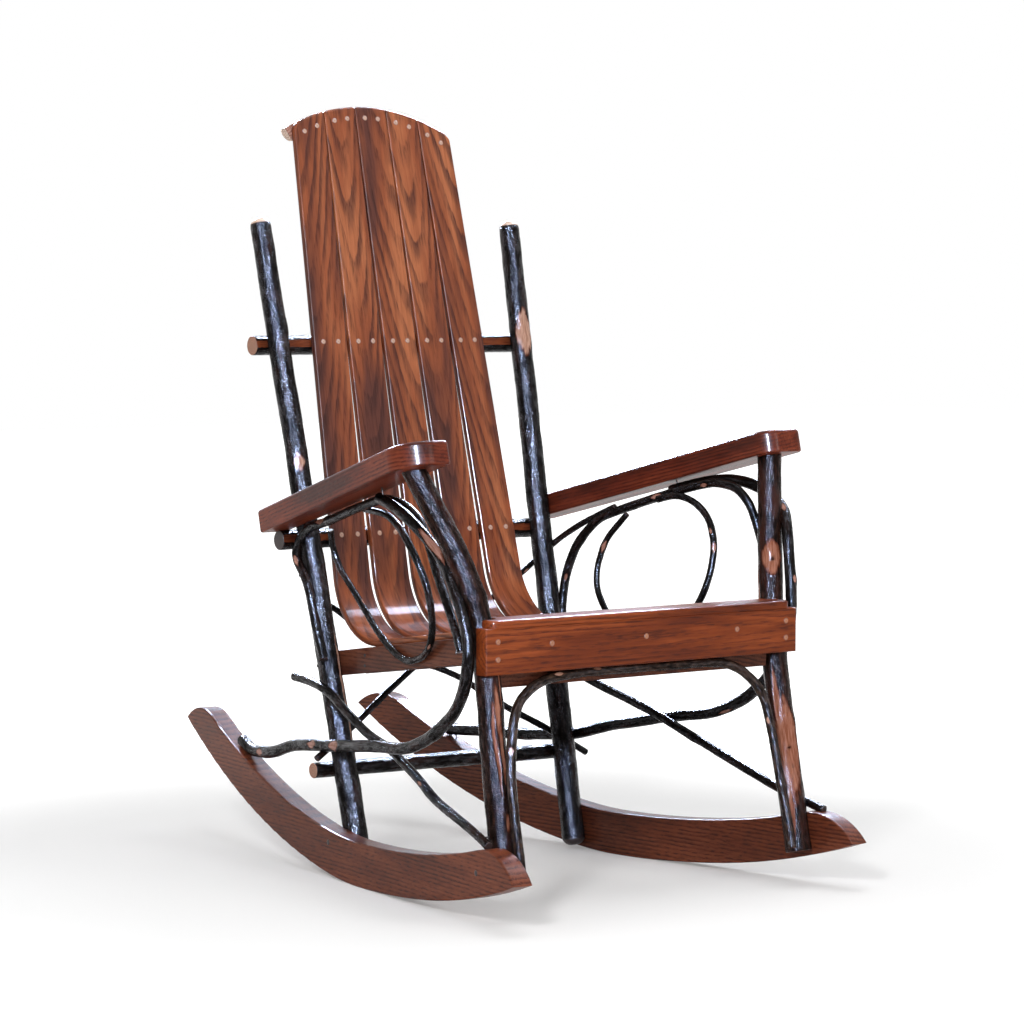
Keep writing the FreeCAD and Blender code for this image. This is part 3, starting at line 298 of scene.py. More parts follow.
# Sawn end of a hickory stick: pale rings round the pith, fine dark pores, thin varnish. The
# stick's own end map gives the rings their middle. A plug's rim is dark with the hole's shade.
# Rings and pores are repeats a metre, and the rim is its radius in metres.
endLook = {"rings": 160.0, "pores": 2400.0, "rim": 0.0041, "rimTone": "6A3828"}


def sawnEnd(name, **changes):
    look = dict(endLook, **changes)
    end = startMaterial(name)
    place = addNode(end, "UVMap", {}, {"uv_map": "ends"})
    rings = addNode(end, "TexWave", {"Vector": place, "Scale": look["rings"], "Distortion": 1.2},
                    {"wave_type": "RINGS", "rings_direction": "Z"}, "Fac")
    pores = addNode(end, "TexVoronoi", {"Vector": place, "Scale": look["pores"]}, output="Distance")
    away = addNode(end, "VectorMath", {0: place}, asLength, "Value")
    rim = addNode(end, "MapRange", {"Value": away, "From Min": 0.72 * look["rim"], "From Max": look["rim"]})
    tone = addNode(end, "ValToRGB", {"Fac": rings}, stops=((0.2, look["light"]), (0.9, look["dark"])))
    pore = addNode(end, "ValToRGB", {"Fac": pores}, stops=((0.05, 0.45), (0.22, 0.0)))
    tone = addNode(end, "Mix", {0: pore, 1: tone, 2: look["poreTone"]}, asColour)
    tone = addNode(end, "Mix", {0: rim, 1: tone, 2: look["rimTone"]}, asColour)
    bump = addNode(end, "Bump", {"Strength": 0.3, "Distance": 0.3 * mm, "Height": pores})
    return setShader(end, {
        "Base Color": tone, "Normal": bump, "Roughness": 0.42, "Coat Weight": 0.15,
        "Coat Roughness": 0.2, "Specular IOR Level": 0.25,
    })


paleEnd = sawnEnd("sawn hickory end, varnished", rings=95.0, pores=1400.0, rim=0.025, light="A97A61",
                  dark="865A45", poreTone="54301F")
postEnd = sawnEnd("sawn top of a post, pale and varnished", rings=95.0, pores=1400.0, rim=0.025,
                  light="DCC3B2", dark="C0A08C", poreTone="8A6450")
backPlugEnd = sawnEnd("pale wood plug of the back, sanded flush and varnished",
                      light="C29F8B", dark="A9826C", poreTone="84634E")
plugEnd = sawnEnd("light wood plug, sanded flush and varnished",
                  light="AE7450", dark="95603F", poreTone="6E452E")
darkEnd = sawnEnd("dark wood end, sanded flush and varnished", rim=0.025,
                  light="2C1A13", dark="20120D", poreTone="120907")


# Drawn steel of the screws and nails, zinc plated or blackened: mottled faintly about every
# millimetre, with a soft shine
def fastenerSteel(name, tones, rough):
    steel = startMaterial(name)
    place = addNode(steel, "TexCoord", {}, output="Object")
    mottle = addNode(steel, "TexNoise", {"Vector": place, "Scale": 900.0, "Detail": 3.0})
    tone = addNode(steel, "ValToRGB", {"Fac": mottle}, stops=((0.35, tones[0]), (0.65, tones[1])))
    gloss = addNode(steel, "ValToRGB", {"Fac": mottle}, stops=((0.3, rough - 0.08), (0.7, rough + 0.1)))
    bump = addNode(steel, "Bump", {"Strength": 0.15, "Distance": 0.2 * mm, "Height": mottle})
    return setShader(steel, {"Metallic": 1.0, "Base Color": tone, "Roughness": gloss, "Normal": bump})


screwSteel = fastenerSteel("zinc plated screw steel", ("9A9A96", "B4B3AE"), 0.38)
nailSteel = fastenerSteel("blackened nail steel", ("2B2827", "45403D"), 0.45)
print("materials made")


# Shapes are extruded ring by ring: each new ring is a copy of the last edge loop, moved into place
def startRing(mesh, points):
    ring = bmesh.ops.create_circle(mesh, segments=len(points), radius=1.0)["verts"]
    ring.sort(key=lambda corner: atan2(corner.co.y, corner.co.x) % tau)
    for corner, point in zip(ring, points):
        corner.co = point
    return ring


def ringEdges(mesh, ring):
    return [mesh.edges.get((first, second)) for first, second in zip(ring, ring[1:] + ring[:1])]


def nextRing(mesh, ring, points):
    made = bmesh.ops.extrude_edge_only(mesh, edges=ringEdges(mesh, ring))["geom"]
    fresh = set(item for item in made if isinstance(item, bmesh.types.BMVert))
    following = []
    for corner, point in zip(ring, points):
        ends = [edge.other_vert(corner) for edge in corner.link_edges]
        other = next(end for end in ends if end in fresh)
        other.co = point
        following.append(other)
    return following


# Values kept with each corner, such as its place in the bark's own pattern
def markRing(ring, layers, marks):
    for corner, values in zip(ring, marks):
        for layer, value in zip(layers, values):
            corner[layer] = value


def makeTube(mesh, body, layers=()):
    rings = []
    for points, marks in body:
        rings.append(nextRing(mesh, rings[-1], points) if rings else startRing(mesh, points))
        markRing(rings[-1], layers, marks)
    return rings


def closeRing(mesh, ring, slot):
    made = bmesh.ops.edgeloop_fill(mesh, edges=ringEdges(mesh, ring))["faces"]
    for face in made:
        face.material_index = slot
        face.smooth = False
    return made


# An end's own map: how far each corner lies from the middle, in metres
def mapEnd(face, layer, middle, across, other):
    for loop in face.loops:
        offset = loop.vert.co - middle
        loop[layer].uv = (offset.dot(across), offset.dot(other))


def finishPiece(name, mesh, materials):
    bmesh.ops.recalc_face_normals(mesh, faces=mesh.faces[:])
    for face in mesh.faces:
        face.smooth = len(face.verts) < 5
    data = bpy.data.meshes.new(name)
    mesh.to_mesh(data)
    mesh.free()
    for material in materials:
        data.materials.append(material)
    piece = addObject(name, data)
    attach(piece, "root")
    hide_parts(nodeFor(name))


# A route's corners joined by arcs as large as its runs allow, as evenly spaced places
def roundedRoute(corners, step):
    arcShare = 0.45
    arcSteps = 8
    dense = [corners[0]]
    for first, corner, last in zip(corners, corners[1:], corners[2:]):
        before = corner - first
        after = last - corner
        cut = min(before.length, after.length) * arcShare
        start = corner - before.normalized() * cut
        end = corner + after.normalized() * cut
        for index in range(arcSteps + 1):
            along = index / arcSteps
            dense.append(start.lerp(corner, along).lerp(corner.lerp(end, along), along))
    dense.append(corners[-1])
    runs = [(b - a).length for a, b in zip(dense, dense[1:])]
    total = sum(runs)
    count = max(2, round(total / step))
    places = []
    walked = 0.0
    index = 0
    for number in range(count + 1):
        target = total * number / count
        while index < len(runs) - 1 and walked + runs[index] < target:
            walked += runs[index]
            index += 1
        share = (target - walked) / max(runs[index], 1e-6)
        places.append(dense[index].lerp(dense[index + 1], min(1.0, share)))
    return places, total


def barkLayers(mesh):
    return (mesh.verts.layers.float.new("peel"), mesh.verts.layers.float.new("eye"),
            mesh.verts.layers.float_vector.new("bark"))


# From -180 to 180 degrees
def turnBetween(angle, other):
    return (angle - other + 180) % 360 - 180


# What a stick is where nothing else is said, in millimetres. Wander bends it, lumps are a share
# of its radius, and ridges are (height, repeats a millimetre). A knot is (share along, degrees
# round from the viewer, height, width), a scraped patch (share, degrees, half length, half
# spread), and a twig's eye (share, degrees, radius). A patch's powers give its rounded lozenge.
stickForm = {
    "step": 4.0, "sides": 24, "rounding": 1.2, "wander": 0.8, "wanderScale": 0.012, "lumps": 0.07,
    "lumpScale": 0.035, "ridges": ((0.28, 0.22), (0.16, 0.6)), "scrapeDepth": 0.5,
    "patchPowers": (1.3, 0.77), "knots": (), "peeled": (), "eyes": (), "flat": None,
    "bark": stickBark, "end": paleEnd, "darkFoot": False, "darkEnds": False,
}


def makeStick(name, **changes):
    stick = dict(stickForm, **changes)
    places, total = roundedRoute(stick["route"], stick["step"])
    last = len(places) - 1
    sides, flat, rounding, wander = [stick[key] for key in ("sides", "flat", "rounding", "wander")]
    power, root = stick["patchPowers"]
    domed = rounding > 3
    seed = Vector([stick["seed"] * shift for shift in (7.31, 3.17, 5.73)])
    toViewer = viewerWay()
    mesh = bmesh.new()
    layers = barkLayers(mesh)
    mapLayer = mesh.loops.layers.uv.new("ends")

    def waysAt(index):
        way = (places[min(index + 1, last)] - places[max(index - 1, 0)]).normalized()
        front = (toViewer - way * toViewer.dot(way)).normalized()
        return way, front, way.cross(front)

    def ringAt(index, shrink=0.0, forward=0.0):
        share = index / last
        way, front, across = waysAt(index)
        middle = places[index] + way * forward
        bend = places[index] * stick["wanderScale"]
        middle = middle + front * wander * noise.noise(bend + seed)
        middle = middle + across * wander * noise.noise(bend - seed)
        base = stick["thick"] / 2 + (stick["thin"] - stick["thick"]) / 2 * share
        points = []
        marks = []
        for number in range(sides):
            angle = tau * number / sides
            facing = degrees(angle)
            outward = front * cos(angle) + across * sin(angle)
            spot = middle + outward * base
            radius = base * (1 + stick["lumps"] * noise.noise(spot * stick["lumpScale"] + seed))
            radius += sum(height * noise.noise(spot * scale + seed) for height, scale in stick["ridges"])
            for place, turn, height, width in stick["knots"]:
                off = radians(turnBetween(facing, turn)) * base
                distance = ((share - place) * total) ** 2 + off ** 2
                radius += height * exp(-distance / width ** 2)
            peel = -1.0
            for place, turn, reach, spread in stick["peeled"]:
                offs = ((share - place) * total / reach, turnBetween(facing, turn) / spread)
                peel = max(peel, 1 - sum(abs(off) ** power for off in offs) ** root)
            eye = 0.0
            for place, turn, size in stick["eyes"]:
                off = radians(turnBetween(facing, turn)) * base
                eye = max(eye, 1 - hypot((share - place) * total, off) / size)
            radius -= stick["scrapeDepth"] * max(0.0, min(1.0, peel * 4))
            radius -= shrink
            outwards = outward * radius
            if flat:  # what stands past the plane is cut off, down to bare wood
                over = outwards.dot(flat[0]) - flat[1]
                if over > 0:
                    outwards -= flat[0] * over
                    peel = max(peel, min(1.0, over * 0.8 - 0.3))
            points.append((middle + outwards) * mm)
            around = Vector((cos(angle) * base, sin(angle) * base, share * total))
            marks.append((peel, eye, around * mm + seed))
        return points, marks

    # the softened or domed end, ring by ring to its flat face
    def endRings(index, sign):
        steps = 5 if domed else 3
        turns = [pi / 2 * number / steps for number in range(1, steps + 1)]
        return [ringAt(index, rounding * (1 - cos(turn)), sign * rounding * (sin(turn) - 1))
                for turn in turns]

    trimmed = max(1, ceil(rounding / stick["step"]))
    rings = makeTube(mesh, [ringAt(index) for index in range(trimmed, last + 1 - trimmed)], layers)
    for index, sign, ring in ((0, -1, rings[0]), (last, 1, rings[-1])):
        known = set(mesh.faces)
        for number, (points, marks) in enumerate(endRings(index, sign)):
            ring = nextRing(mesh, ring, points)
            worn = 0.2 if number else -0.4  # bark comes off the end's rounded edge
            markRing(ring, layers, [(max(peel, worn), eye, around) for peel, eye, around in marks])
        endSlot = 2 if stick["darkEnds"] or index == 0 and stick["darkFoot"] else 1
        closeRing(mesh, ring, endSlot)
        centre = sum((corner.co for corner in ring), Vector()) / len(ring)
        way, front, across = waysAt(index)
        for face in mesh.faces:
            if face not in known:
                depth = max(abs((corner.co - centre).dot(way)) for corner in face.verts)
                if depth < rounding * mm * (0.8 if domed else 0.4):
                    face.material_index = endSlot
                mapEnd(face, mapLayer, centre, front, across)
    finishPiece(name, mesh, [stick["bark"], stick["end"], darkEnd])


# Routes from rows of shares: of half the runner, of the arm's height, and stick radii outside
# the sheet through the posts
def sideRoute(radius, shares):
    rearY, rearX = chair["sideRear"]
    frontY, frontX = chair["sideFront"]
    route = []
    for yShare, zShare, outShare in shares:
        y = yShare * chair["halfRunner"]
        sheet = rearX + (frontX - rearX) * (rearY - y) / (rearY - frontY)
        route.append(Vector((sheet + outShare * radius, y, zShare * chair["armHeight"])))
    return route


def rearAxis(z):
    return Vector((chair["rearStance"] + z * tangent(chair["rearSplay"]),
                   chair["rearFoot"] + z * tangent(chair["rearLean"]), z))


# The way up the leaning back and the way out behind it
def backWays():
    lean = radians(chair["rearLean"])
    return Vector((0, sin(lean), cos(lean))), Vector((0, cos(lean), -sin(lean)))


def backPlace(z, offset):
    place = rearAxis(z) + backWays()[1] * offset
    return Vector((0, place.y, place.z))


# Shares of the rear posts' stance, of the arm's height, and stick radii behind the posts
def backRoute(radius, shares):
    route = []
    for xShare, zShare, behind in shares:
        place = backPlace(zShare * chair["armHeight"], behind * radius)
        route.append(Vector((xShare * chair["rearStance"], place.y, place.z)))
    return route


# Shares of the front posts' stance, stick radii before the apron's rear, and of the seat's height
def frontRoute(radius, shares):
    return [Vector((xShare * chair["frontStance"], chair["apronRear"] - yShare * radius,
                    zShare * chair["seatHeight"])) for xShare, yShare, zShare in shares]


# Posts, from the foot up
rearPost = {"thick": 35.0, "thin": 31.0, "lumps": 0.045, "wander": 1.2, "rounding": 13.0, "footHeight": 9.0,
            "sides": 36, "step": 3.5, "bark": postBark, "end": postEnd, "darkFoot": True}
rearPosts = {
    "rearPostLeft": {
        "seed": 1,
        "knots": ((0.62, 10, 1.6, 16), (0.33, -30, 1.8, 14), (0.12, 60, 1.2, 18), (0.83, 120, 1.5, 15)),
        "peeled": ((0.619, 12, 15, 30), (0.30, 62, 60, 10), (0.22, 70, 50, 9), (0.71, 150, 18, 25)),
    },
    "rearPostRight": {
        "seed": 2,
        "knots": ((0.80, 40, 1.8, 18), (0.55, -60, 1.4, 15), (0.25, 20, 1.5, 18), (0.42, 160, 1.4, 14)),
        "peeled": ((0.815, 28, 38, 55), (0.5, 170, 26, 22)),
    },
}
for name, post in rearPosts.items():
    route = sided(name, [rearAxis(z) for z in (rearPost["footHeight"], chair["rearTop"])])
    makeStick(name, route=route, **rearPost, **post)

frontPost = {"thick": 38.0, "lumps": 0.05, "wander": 1.0, "footHeight": 50.0, "intoArm": 15.5,
             "sides": 36, "step": 3.5, "bark": frontPostBark, "darkFoot": True}
frontPosts = {
    "frontPostLeft": {
        "across": (256.0, 253.0, 311.0), "floorY": -432.0, "kneeHeight": 432.0, "lean": 8.9, "armY": -293.0,
        "thin": 32.5, "seed": 3,
        "knots": ((0.665, -25, 3.2, 16), (0.655, 60, 2.0, 14), (0.40, 80, 1.4, 14), (0.22, -40, 1.2, 12)),
        "peeled": ((0.40, 34, 40, 13), (0.35, 8, 46, 8), (0.30, 44, 56, 10), (0.26, 20, 34, 7),
                   (0.14, 35, 20, 8), (0.50, 60, 60, 8)),
    },
    "frontPostRight": {
        "across": (257.5, 254.5, 311.0), "floorY": -444.0, "kneeHeight": 348.0, "lean": 11.4, "armY": -305.0,
        "thin": 34.5, "seed": 4,
        "knots": ((0.735, -8, 2.0, 12), (0.31, 22, 2.4, 16), (0.53, 90, 1.8, 18), (0.12, 10, 1.4, 14)),
        "peeled": ((0.715, 4, 27, 52), (0.25, 10, 74, 66), (0.37, -18, 50, 14), (0.60, -80, 60, 16),
                   (0.10, -10, 40, 12)),
        "eyes": ((0.710, 6, 6.0), (0.25, 16, 5.0), (0.205, 24, 3.6)),
    },
}
for name, post in frontPosts.items():
    footX, kneeX, armX = post["across"]
    foot, knee = [Vector((x, post["floorY"] + z * tangent(post["lean"]), z))
                  for x, z in ((footX, frontPost["footHeight"]), (kneeX, post["kneeHeight"]))]
    arm = Vector((armX, post["armY"], chair["armHeight"]))
    top = arm + (arm - knee).normalized() * frontPost["intoArm"]
    makeStick(name, route=sided(name, (foot, knee, top)), **frontPost, **post)
print("posts made")

hoops = {
    "sideHoopLeft": {
        "seed": 5,
        "shares": (
            (0.65, 0.272, 0.9), (0.58, 0.25, 0.9), (0.45, 0.258, 0.9), (0.33, 0.29, 0.9),
            (0.21, 0.303, 0.9), (0.0, 0.32, 1.1), (-0.18, 0.34, 1.3), (-0.39, 0.35, 1.3),
            (-0.54, 0.395, 1.1), (-0.66, 0.462, 0.9), (-0.72, 0.53, 0.9), (-0.737, 0.61, 0.9),
            (-0.70, 0.69, 1.0), (-0.65, 0.755, 1.1), (-0.60, 0.81, 1.6), (-0.51, 0.87, 2.8),
            (-0.42, 0.91, 3.6), (-0.33, 0.93, 4.2)),
        "knots": ((0.07, -40, 1.0, 8), (0.245, -30, 1.3, 10), (0.31, 10, 1.2, 10), (0.58, 60, 1.0, 10),
                  (0.80, -50, 1.1, 10), (0.93, 30, 1.2, 9)),
        "peeled": ((0.072, -5, 12, 36), (0.238, -15, 15, 44), (0.305, -12, 16, 60), (0.872, 4, 34, 48)),
    },
    "sideHoopRight": {
        "seed": 6,
        "shares": (
            (0.61, 0.256, 0.9), (0.50, 0.262, 0.9), (0.30, 0.268, 0.9), (0.09, 0.283, 0.9),
            (-0.05, 0.318, 1.0), (-0.19, 0.34, 1.2), (-0.30, 0.36, 1.3), (-0.43, 0.374, 1.3),
            (-0.55, 0.41, 1.1), (-0.65, 0.475, 1.0), (-0.705, 0.55, 0.9), (-0.735, 0.632, 0.9),
            (-0.725, 0.731, 1.2), (-0.68, 0.84, 3.0), (-0.63, 0.885, 5.2), (-0.56, 0.918, 6.0),
            (-0.50, 0.94, 5.2), (-0.42, 0.945, 4.5), (-0.32, 0.93, 4.2), (-0.23, 0.91, 4.2)),
        "knots": ((0.80, 10, 1.1, 9), (0.71, 60, 1.2, 8), (0.42, 0, 1.0, 12), (0.15, 90, 1.0, 12)),
        "peeled": ((0.806, 0, 10, 34), (0.712, 40, 6, 24), (0.50, 30, 14, 20), (0.28, 150, 12, 25)),
    },
}
arches = {
    "armArchLeft": {
        "seed": 7,
        "shares": (
            (0.095, 0.52, 1.9), (0.145, 0.61, 2.1), (0.175, 0.70, 2.5), (0.24, 0.755, 3.1),
            (0.215, 0.80, 3.4), (0.14, 0.838, 3.5), (0.03, 0.855, 3.4), (-0.11, 0.888, 3.2),
            (-0.21, 0.91, 3.0), (-0.30, 0.928, 2.6), (-0.39, 0.915, 1.6), (-0.46, 0.88, 0.7),
            (-0.505, 0.82, 0.4), (-0.55, 0.76, 0.6), (-0.61, 0.70, 0.9), (-0.665, 0.645, 1.2),
            (-0.69, 0.60, 1.1)),
        "knots": ((0.22, -30, 1.4, 8), (0.39, -50, 1.6, 9), (0.62, 30, 1.0, 8), (0.83, 10, 1.0, 9)),
        "peeled": ((0.205, -20, 12, 34), (0.365, -35, 16, 40), (0.60, 20, 8, 30)),
    },
    "armArchRight": {
        "seed": 8,
        "shares": (
            (0.15, 0.52, 2.1), (0.155, 0.60, 2.2), (0.14, 0.69, 2.4), (0.10, 0.77, 2.9), (0.02, 0.835, 3.2),
            (-0.07, 0.858, 3.2), (-0.16, 0.88, 3.0), (-0.33, 0.92, 2.4), (-0.45, 0.94, 1.5),
            (-0.535, 0.93, 1.2), (-0.58, 0.895, 1.3), (-0.59, 0.84, 2.7), (-0.61, 0.78, 3.0),
            (-0.625, 0.72, 1.7)),
        "knots": ((0.53, 0, 1.0, 8), (0.69, 10, 1.2, 8), (0.25, 90, 1.0, 8)),
        "peeled": ((0.53, -20, 13, 34), (0.69, 10, 8, 30), (0.15, 0, 7, 24)),
    },
}
rings = {
    "sideRingLeft": {
        "seed": 9,
        "shares": (
            (-0.15, 0.895, 2.2), (-0.285, 0.888, 1.9), (-0.35, 0.856, 1.2), (-0.416, 0.791, -0.1),
            (-0.452, 0.73, -1.5), (-0.451, 0.66, -3.1), (-0.428, 0.606, -4.2), (-0.375, 0.562, -4.8),
            (-0.285, 0.54, -4.6), (-0.195, 0.559, -4.4), (-0.10, 0.607, -3.9), (-0.022, 0.669, -2.9),
            (0.06, 0.735, -1.4), (0.084, 0.784, -0.2), (0.066, 0.833, 1.6)),
        "knots": ((0.3, 20, 0.9, 6), (0.62, -40, 0.9, 6)),
        "peeled": ((0.45, 0, 6, 24), (0.80, 60, 7, 22)),
    },
    "sideRingRight": {
        "seed": 10,
        "shares": (
            (-0.23, 0.89, 2.2), (-0.30, 0.905, 2.4), (-0.371, 0.89, 2.2), (-0.434, 0.852, 1.4),
            (-0.469, 0.793, 0.0), (-0.474, 0.726, -1.6), (-0.458, 0.665, -3.0), (-0.415, 0.60, -4.4),
            (-0.345, 0.555, -4.7), (-0.245, 0.54, -4.5), (-0.15, 0.562, -4.3), (-0.095, 0.613, -4.0),
            (-0.055, 0.66, -3.2), (-0.040, 0.711, -1.9), (-0.055, 0.782, -0.3), (-0.12, 0.850, 1.6)),
        "knots": ((0.25, 0, 1.2, 6), (0.90, -10, 1.1, 7), (0.22, 40, 0.9, 6)),
        "peeled": ((0.254, 0, 8, 40), (0.90, 0, 11, 36), (0.215, 30, 5, 26)),
    },
}
braces = {
    "sideBraceLeft": {
        "seed": 11,
        "shares": (
            (0.31, 0.46, 0.8), (0.20, 0.458, 0.8), (0.10, 0.446, 0.8), (-0.02, 0.395, 0.2),
            (-0.12, 0.355, -0.6), (-0.23, 0.338, -1.0), (-0.42, 0.282, -0.4), (-0.51, 0.25, 0.0),
            (-0.64, 0.225, 0.5), (-0.76, 0.20, 0.8), (-0.83, 0.18, 0.8)),
        "knots": ((0.15, 0, 1.0, 8), (0.45, 40, 1.2, 9), (0.78, 0, 1.2, 8)),
        "peeled": ((0.66, 20, 7, 25),),
    },
    "sideBraceRight": {
        "seed": 12,
        "shares": (
            (0.30, 0.50, 0.8), (0.16, 0.47, 0.8), (0.01, 0.425, 0.6), (-0.14, 0.392, -0.2),
            (-0.27, 0.362, -0.8), (-0.43, 0.308, -0.7), (-0.68, 0.222, 0.5), (-0.86, 0.178, 0.8)),
        "knots": ((0.3, 0, 1.0, 9), (0.6, 50, 1.0, 8)), "peeled": ((0.2, 120, 9, 25),),
    },
}
for family, thick, thin, darkEnds in ((hoops, 18.4, 16.0, False), (arches, 14.0, 12.4, True),
                                      (rings, 10.8, 9.2, True), (braces, 13.6, 12.4, True)):
    for name, stick in family.items():
        route = sided(name, sideRoute(thick / 2, stick["shares"]))
        makeStick(name, route=route, thick=thick, thin=thin, darkEnds=darkEnds, **stick)
print("side sticks made")

frontArch = {
    "thick": 13.8, "thin": 12.8, "seed": 13, "bark": archBark,
    "shares": (
        (-0.96, 9.0, 0.18), (-0.98, 7.6, 0.36), (-0.98, 6.4, 0.54), (-0.955, 5.5, 0.64),
        (-0.925, 4.6, 0.71), (-0.865, 3.5, 0.765), (-0.76, 2.4, 0.81), (-0.63, 1.4, 0.836),
        (-0.41, 1.0, 0.845), (0.43, 1.0, 0.845), (0.60, 1.0, 0.838), (0.70, 1.5, 0.812), (0.80, 2.3, 0.755),
        (0.845, 3.2, 0.69), (0.87, 4.2, 0.58), (0.885, 5.3, 0.47), (0.90, 6.4, 0.36), (0.92, 7.6, 0.23),
        (0.925, 8.5, 0.15)),
    "knots": ((0.178, 0, 1.2, 7), (0.35, -30, 1.2, 8), (0.42, 20, 1.0, 8), (0.75, 0, 1.2, 9),
              (0.9, 30, 1.0, 8)),
    "peeled": ((0.178, 0, 6, 30), (0.345, -30, 8, 26), (0.42, -30, 7, 24), (0.80, 20, 6, 22)),
}
makeStick("frontArch", route=frontRoute(frontArch["thick"] / 2, frontArch["shares"]), **frontArch)

backBrace = {"thick": 10.0, "thin": 8.8, "peeled": ((0.7, 30, 6, 24),), "darkEnds": True,
             "knots": ((0.2, 0, 0.9, 7), (0.55, 60, 1.0, 7), (0.8, -20, 0.9, 6))}
backBraces = {
    "backBraceToRight": {
        "seed": 14,
        "back": (
            (-1.20, 0.286, 4.4), (-0.76, 0.371, 4.3), (-0.44, 0.44, 4.0), (-0.29, 0.471, 3.6),
            (0.14, 0.555, 3.4), (0.64, 0.645, 3.6), (0.99, 0.708, 4.2), (1.08, 0.727, 4.4)),
        "shares": ((0.18, 0.775, 4.6), (0.08, 0.82, 4.6), (0.0, 0.848, 4.2), (-0.05, 0.865, 4.0)),
    },
    "backBraceToLeft": {
        "seed": 15,
        "back": (
            (1.33, 0.239, 4.4), (0.98, 0.307, 4.4), (0.58, 0.374, 4.6), (0.22, 0.45, 5.0),
            (0.06, 0.474, 5.4), (-0.23, 0.506, 5.6), (-0.48, 0.54, 5.0), (-0.67, 0.587, 4.6),
            (-0.86, 0.638, 4.4), (-1.0, 0.66, 4.4)),
        "shares": (),
    },
}
for name, brace in backBraces.items():
    radius = backBrace["thick"] / 2
    route = backRoute(radius, brace["back"]) + sideRoute(radius, brace["shares"])
    makeStick(name, route=route, **backBrace, **brace)

# Round poles across the back: the two rails are planed flat where the slats lie on them
pole = {"lumps": 0.03, "wander": 0.4, "sides": 32, "knots": ((0.3, 0, 1.0, 10), (0.72, 60, 1.2, 10))}
poles = {
    "upperBackRail": {"heights": (771.0, 771.0), "stubs": (27.0, 21.0), "thick": 29.0, "planed": 1.6,
                      "seed": 16, "bark": railBark},
    "lowerBackRail": {"heights": (488.0, 488.0), "stubs": (33.0, 33.0), "thick": 29.0, "planed": 1.6,
                      "seed": 17, "bark": railBark, "darkEnds": True},
    "rearStretcher": {"heights": (157.0, 151.0), "stubs": (38.0, 22.0), "thick": 23.0, "planed": 0.0,
                      "seed": 18, "bark": postBark},
}
for name, own in poles.items():
    radius = own["thick"] / 2
    ends = []
    for side, height, stub in zip((-1, 1), own["heights"], own["stubs"]):
        place = backPlace(height, chair["backOffset"] + radius)
        ends.append(Vector((side * (rearAxis(height).x + stub), place.y, place.z)))
    flat = (-backWays()[1], radius - own["planed"]) if own["planed"] else None
    route = [ends[0], ends[0].lerp(ends[1], 0.5), ends[1]]
    makeStick(name, route=route, thin=own["thick"], flat=flat, **pole, **own)
print("front arch, braces and poles made")

# The slats: each one strip from the crown of the back, round the bend, to the seat's front
slats = {
    "count": 5, "thick": 10.0, "topWidth": 55.6, "frontWidth": 66.0, "topPitch": 56.2, "frontPitch": 80.0,
    "bendRadius": 112.0, "edgeRound": 2.4, "crownRound": 3.6, "backHeight": 1124.5, "arcRadius": 298.0,
    "arcX": -12.0, "cornerRound": 10.0, "step": 9.0, "bendStep": 1.6, "backStep": 2.5, "strips": 8,
    # the crown's arc fades out over this height, and its edge turns by these angles in radians
    "crownZone": 90.0, "crownShares": (0.25, 0.5, 0.75, 0.9), "crownTurns": (0.52, 1.05, 1.57),
    # where the tree's heart lay from each slat's middle, across and behind, and how far apart along
    # the tree the slats were cut, in metres
    "heart": ((0.032, 0.038), (0.003, 0.017), (-0.030, 0.044), (0.005, 0.019), (-0.026, 0.036)),
    "apart": 1.7,
}


def seatWay():
    return Vector((0, 1, -tangent(chair["seatSlope"]))).normalized()


# The middle of a slat's thickness, seen from the side: seat run and bend as (place, way up out
# of the upper face, length so far), then where the back's straight run starts, at what length
def slatPath():
    along, (up, behind) = seatWay(), backWays()
    lift = slats["thick"] / 2
    seatUp = Vector((0, -along.z, along.y))
    onSeat = Vector((0, chair["apronRear"], chair["seatHeight"])) + seatUp * lift
    onBack = backPlace(0, chair["backOffset"]) - behind * lift
    gap = onBack - onSeat
    reach = (gap.y * up.z - gap.z * up.y) / (along.y * up.z - along.z * up.y)
    turn = acos(along.dot(up))
    radius = slats["bendRadius"]
    cut = radius * tan(turn / 2)
    seatRun = reach - cut
    bendRun = radius * turn
    places = []
    count = round(seatRun / slats["step"])
    for number in range(count):
        places.append((onSeat + along * seatRun * number / count, seatUp, seatRun * number / count))
    centre = onSeat + along * seatRun + seatUp * radius
    count = round(bendRun / slats["step"] * slats["bendStep"])
    for number in range(count):
        angle = turn * number / count
        out = seatUp * cos(angle) - along * sin(angle)
        places.append((centre - out * radius, out, seatRun + bendRun * number / count))
    return places, onSeat + along * reach + up * cut, seatRun + bendRun


def slatSection(half, inset=0.0):
    edgeRound = slats["edgeRound"] * (0.4 if inset else 1.0)
    thick = slats["thick"] - 2 * inset
    flat = half - inset - edgeRound
    points = []
    for cornerX, cornerN, start in ((1, 1, 0), (-1, 1, 90), (-1, -1, 180), (1, -1, 270)):
        for number in range(4):
            angle = radians(start + 30 * number)
            points.append((cornerX * flat + edgeRound * cos(angle),
                           cornerN * (thick / 2 - edgeRound) + edgeRound * sin(angle)))
        if start in (0, 180):
            for number in range(slats["strips"] + 1):
                share = number / slats["strips"]
                points.append((cornerX * (flat - edgeRound / 3) * (1 - 2 * share), cornerN * thick / 2))
    return points


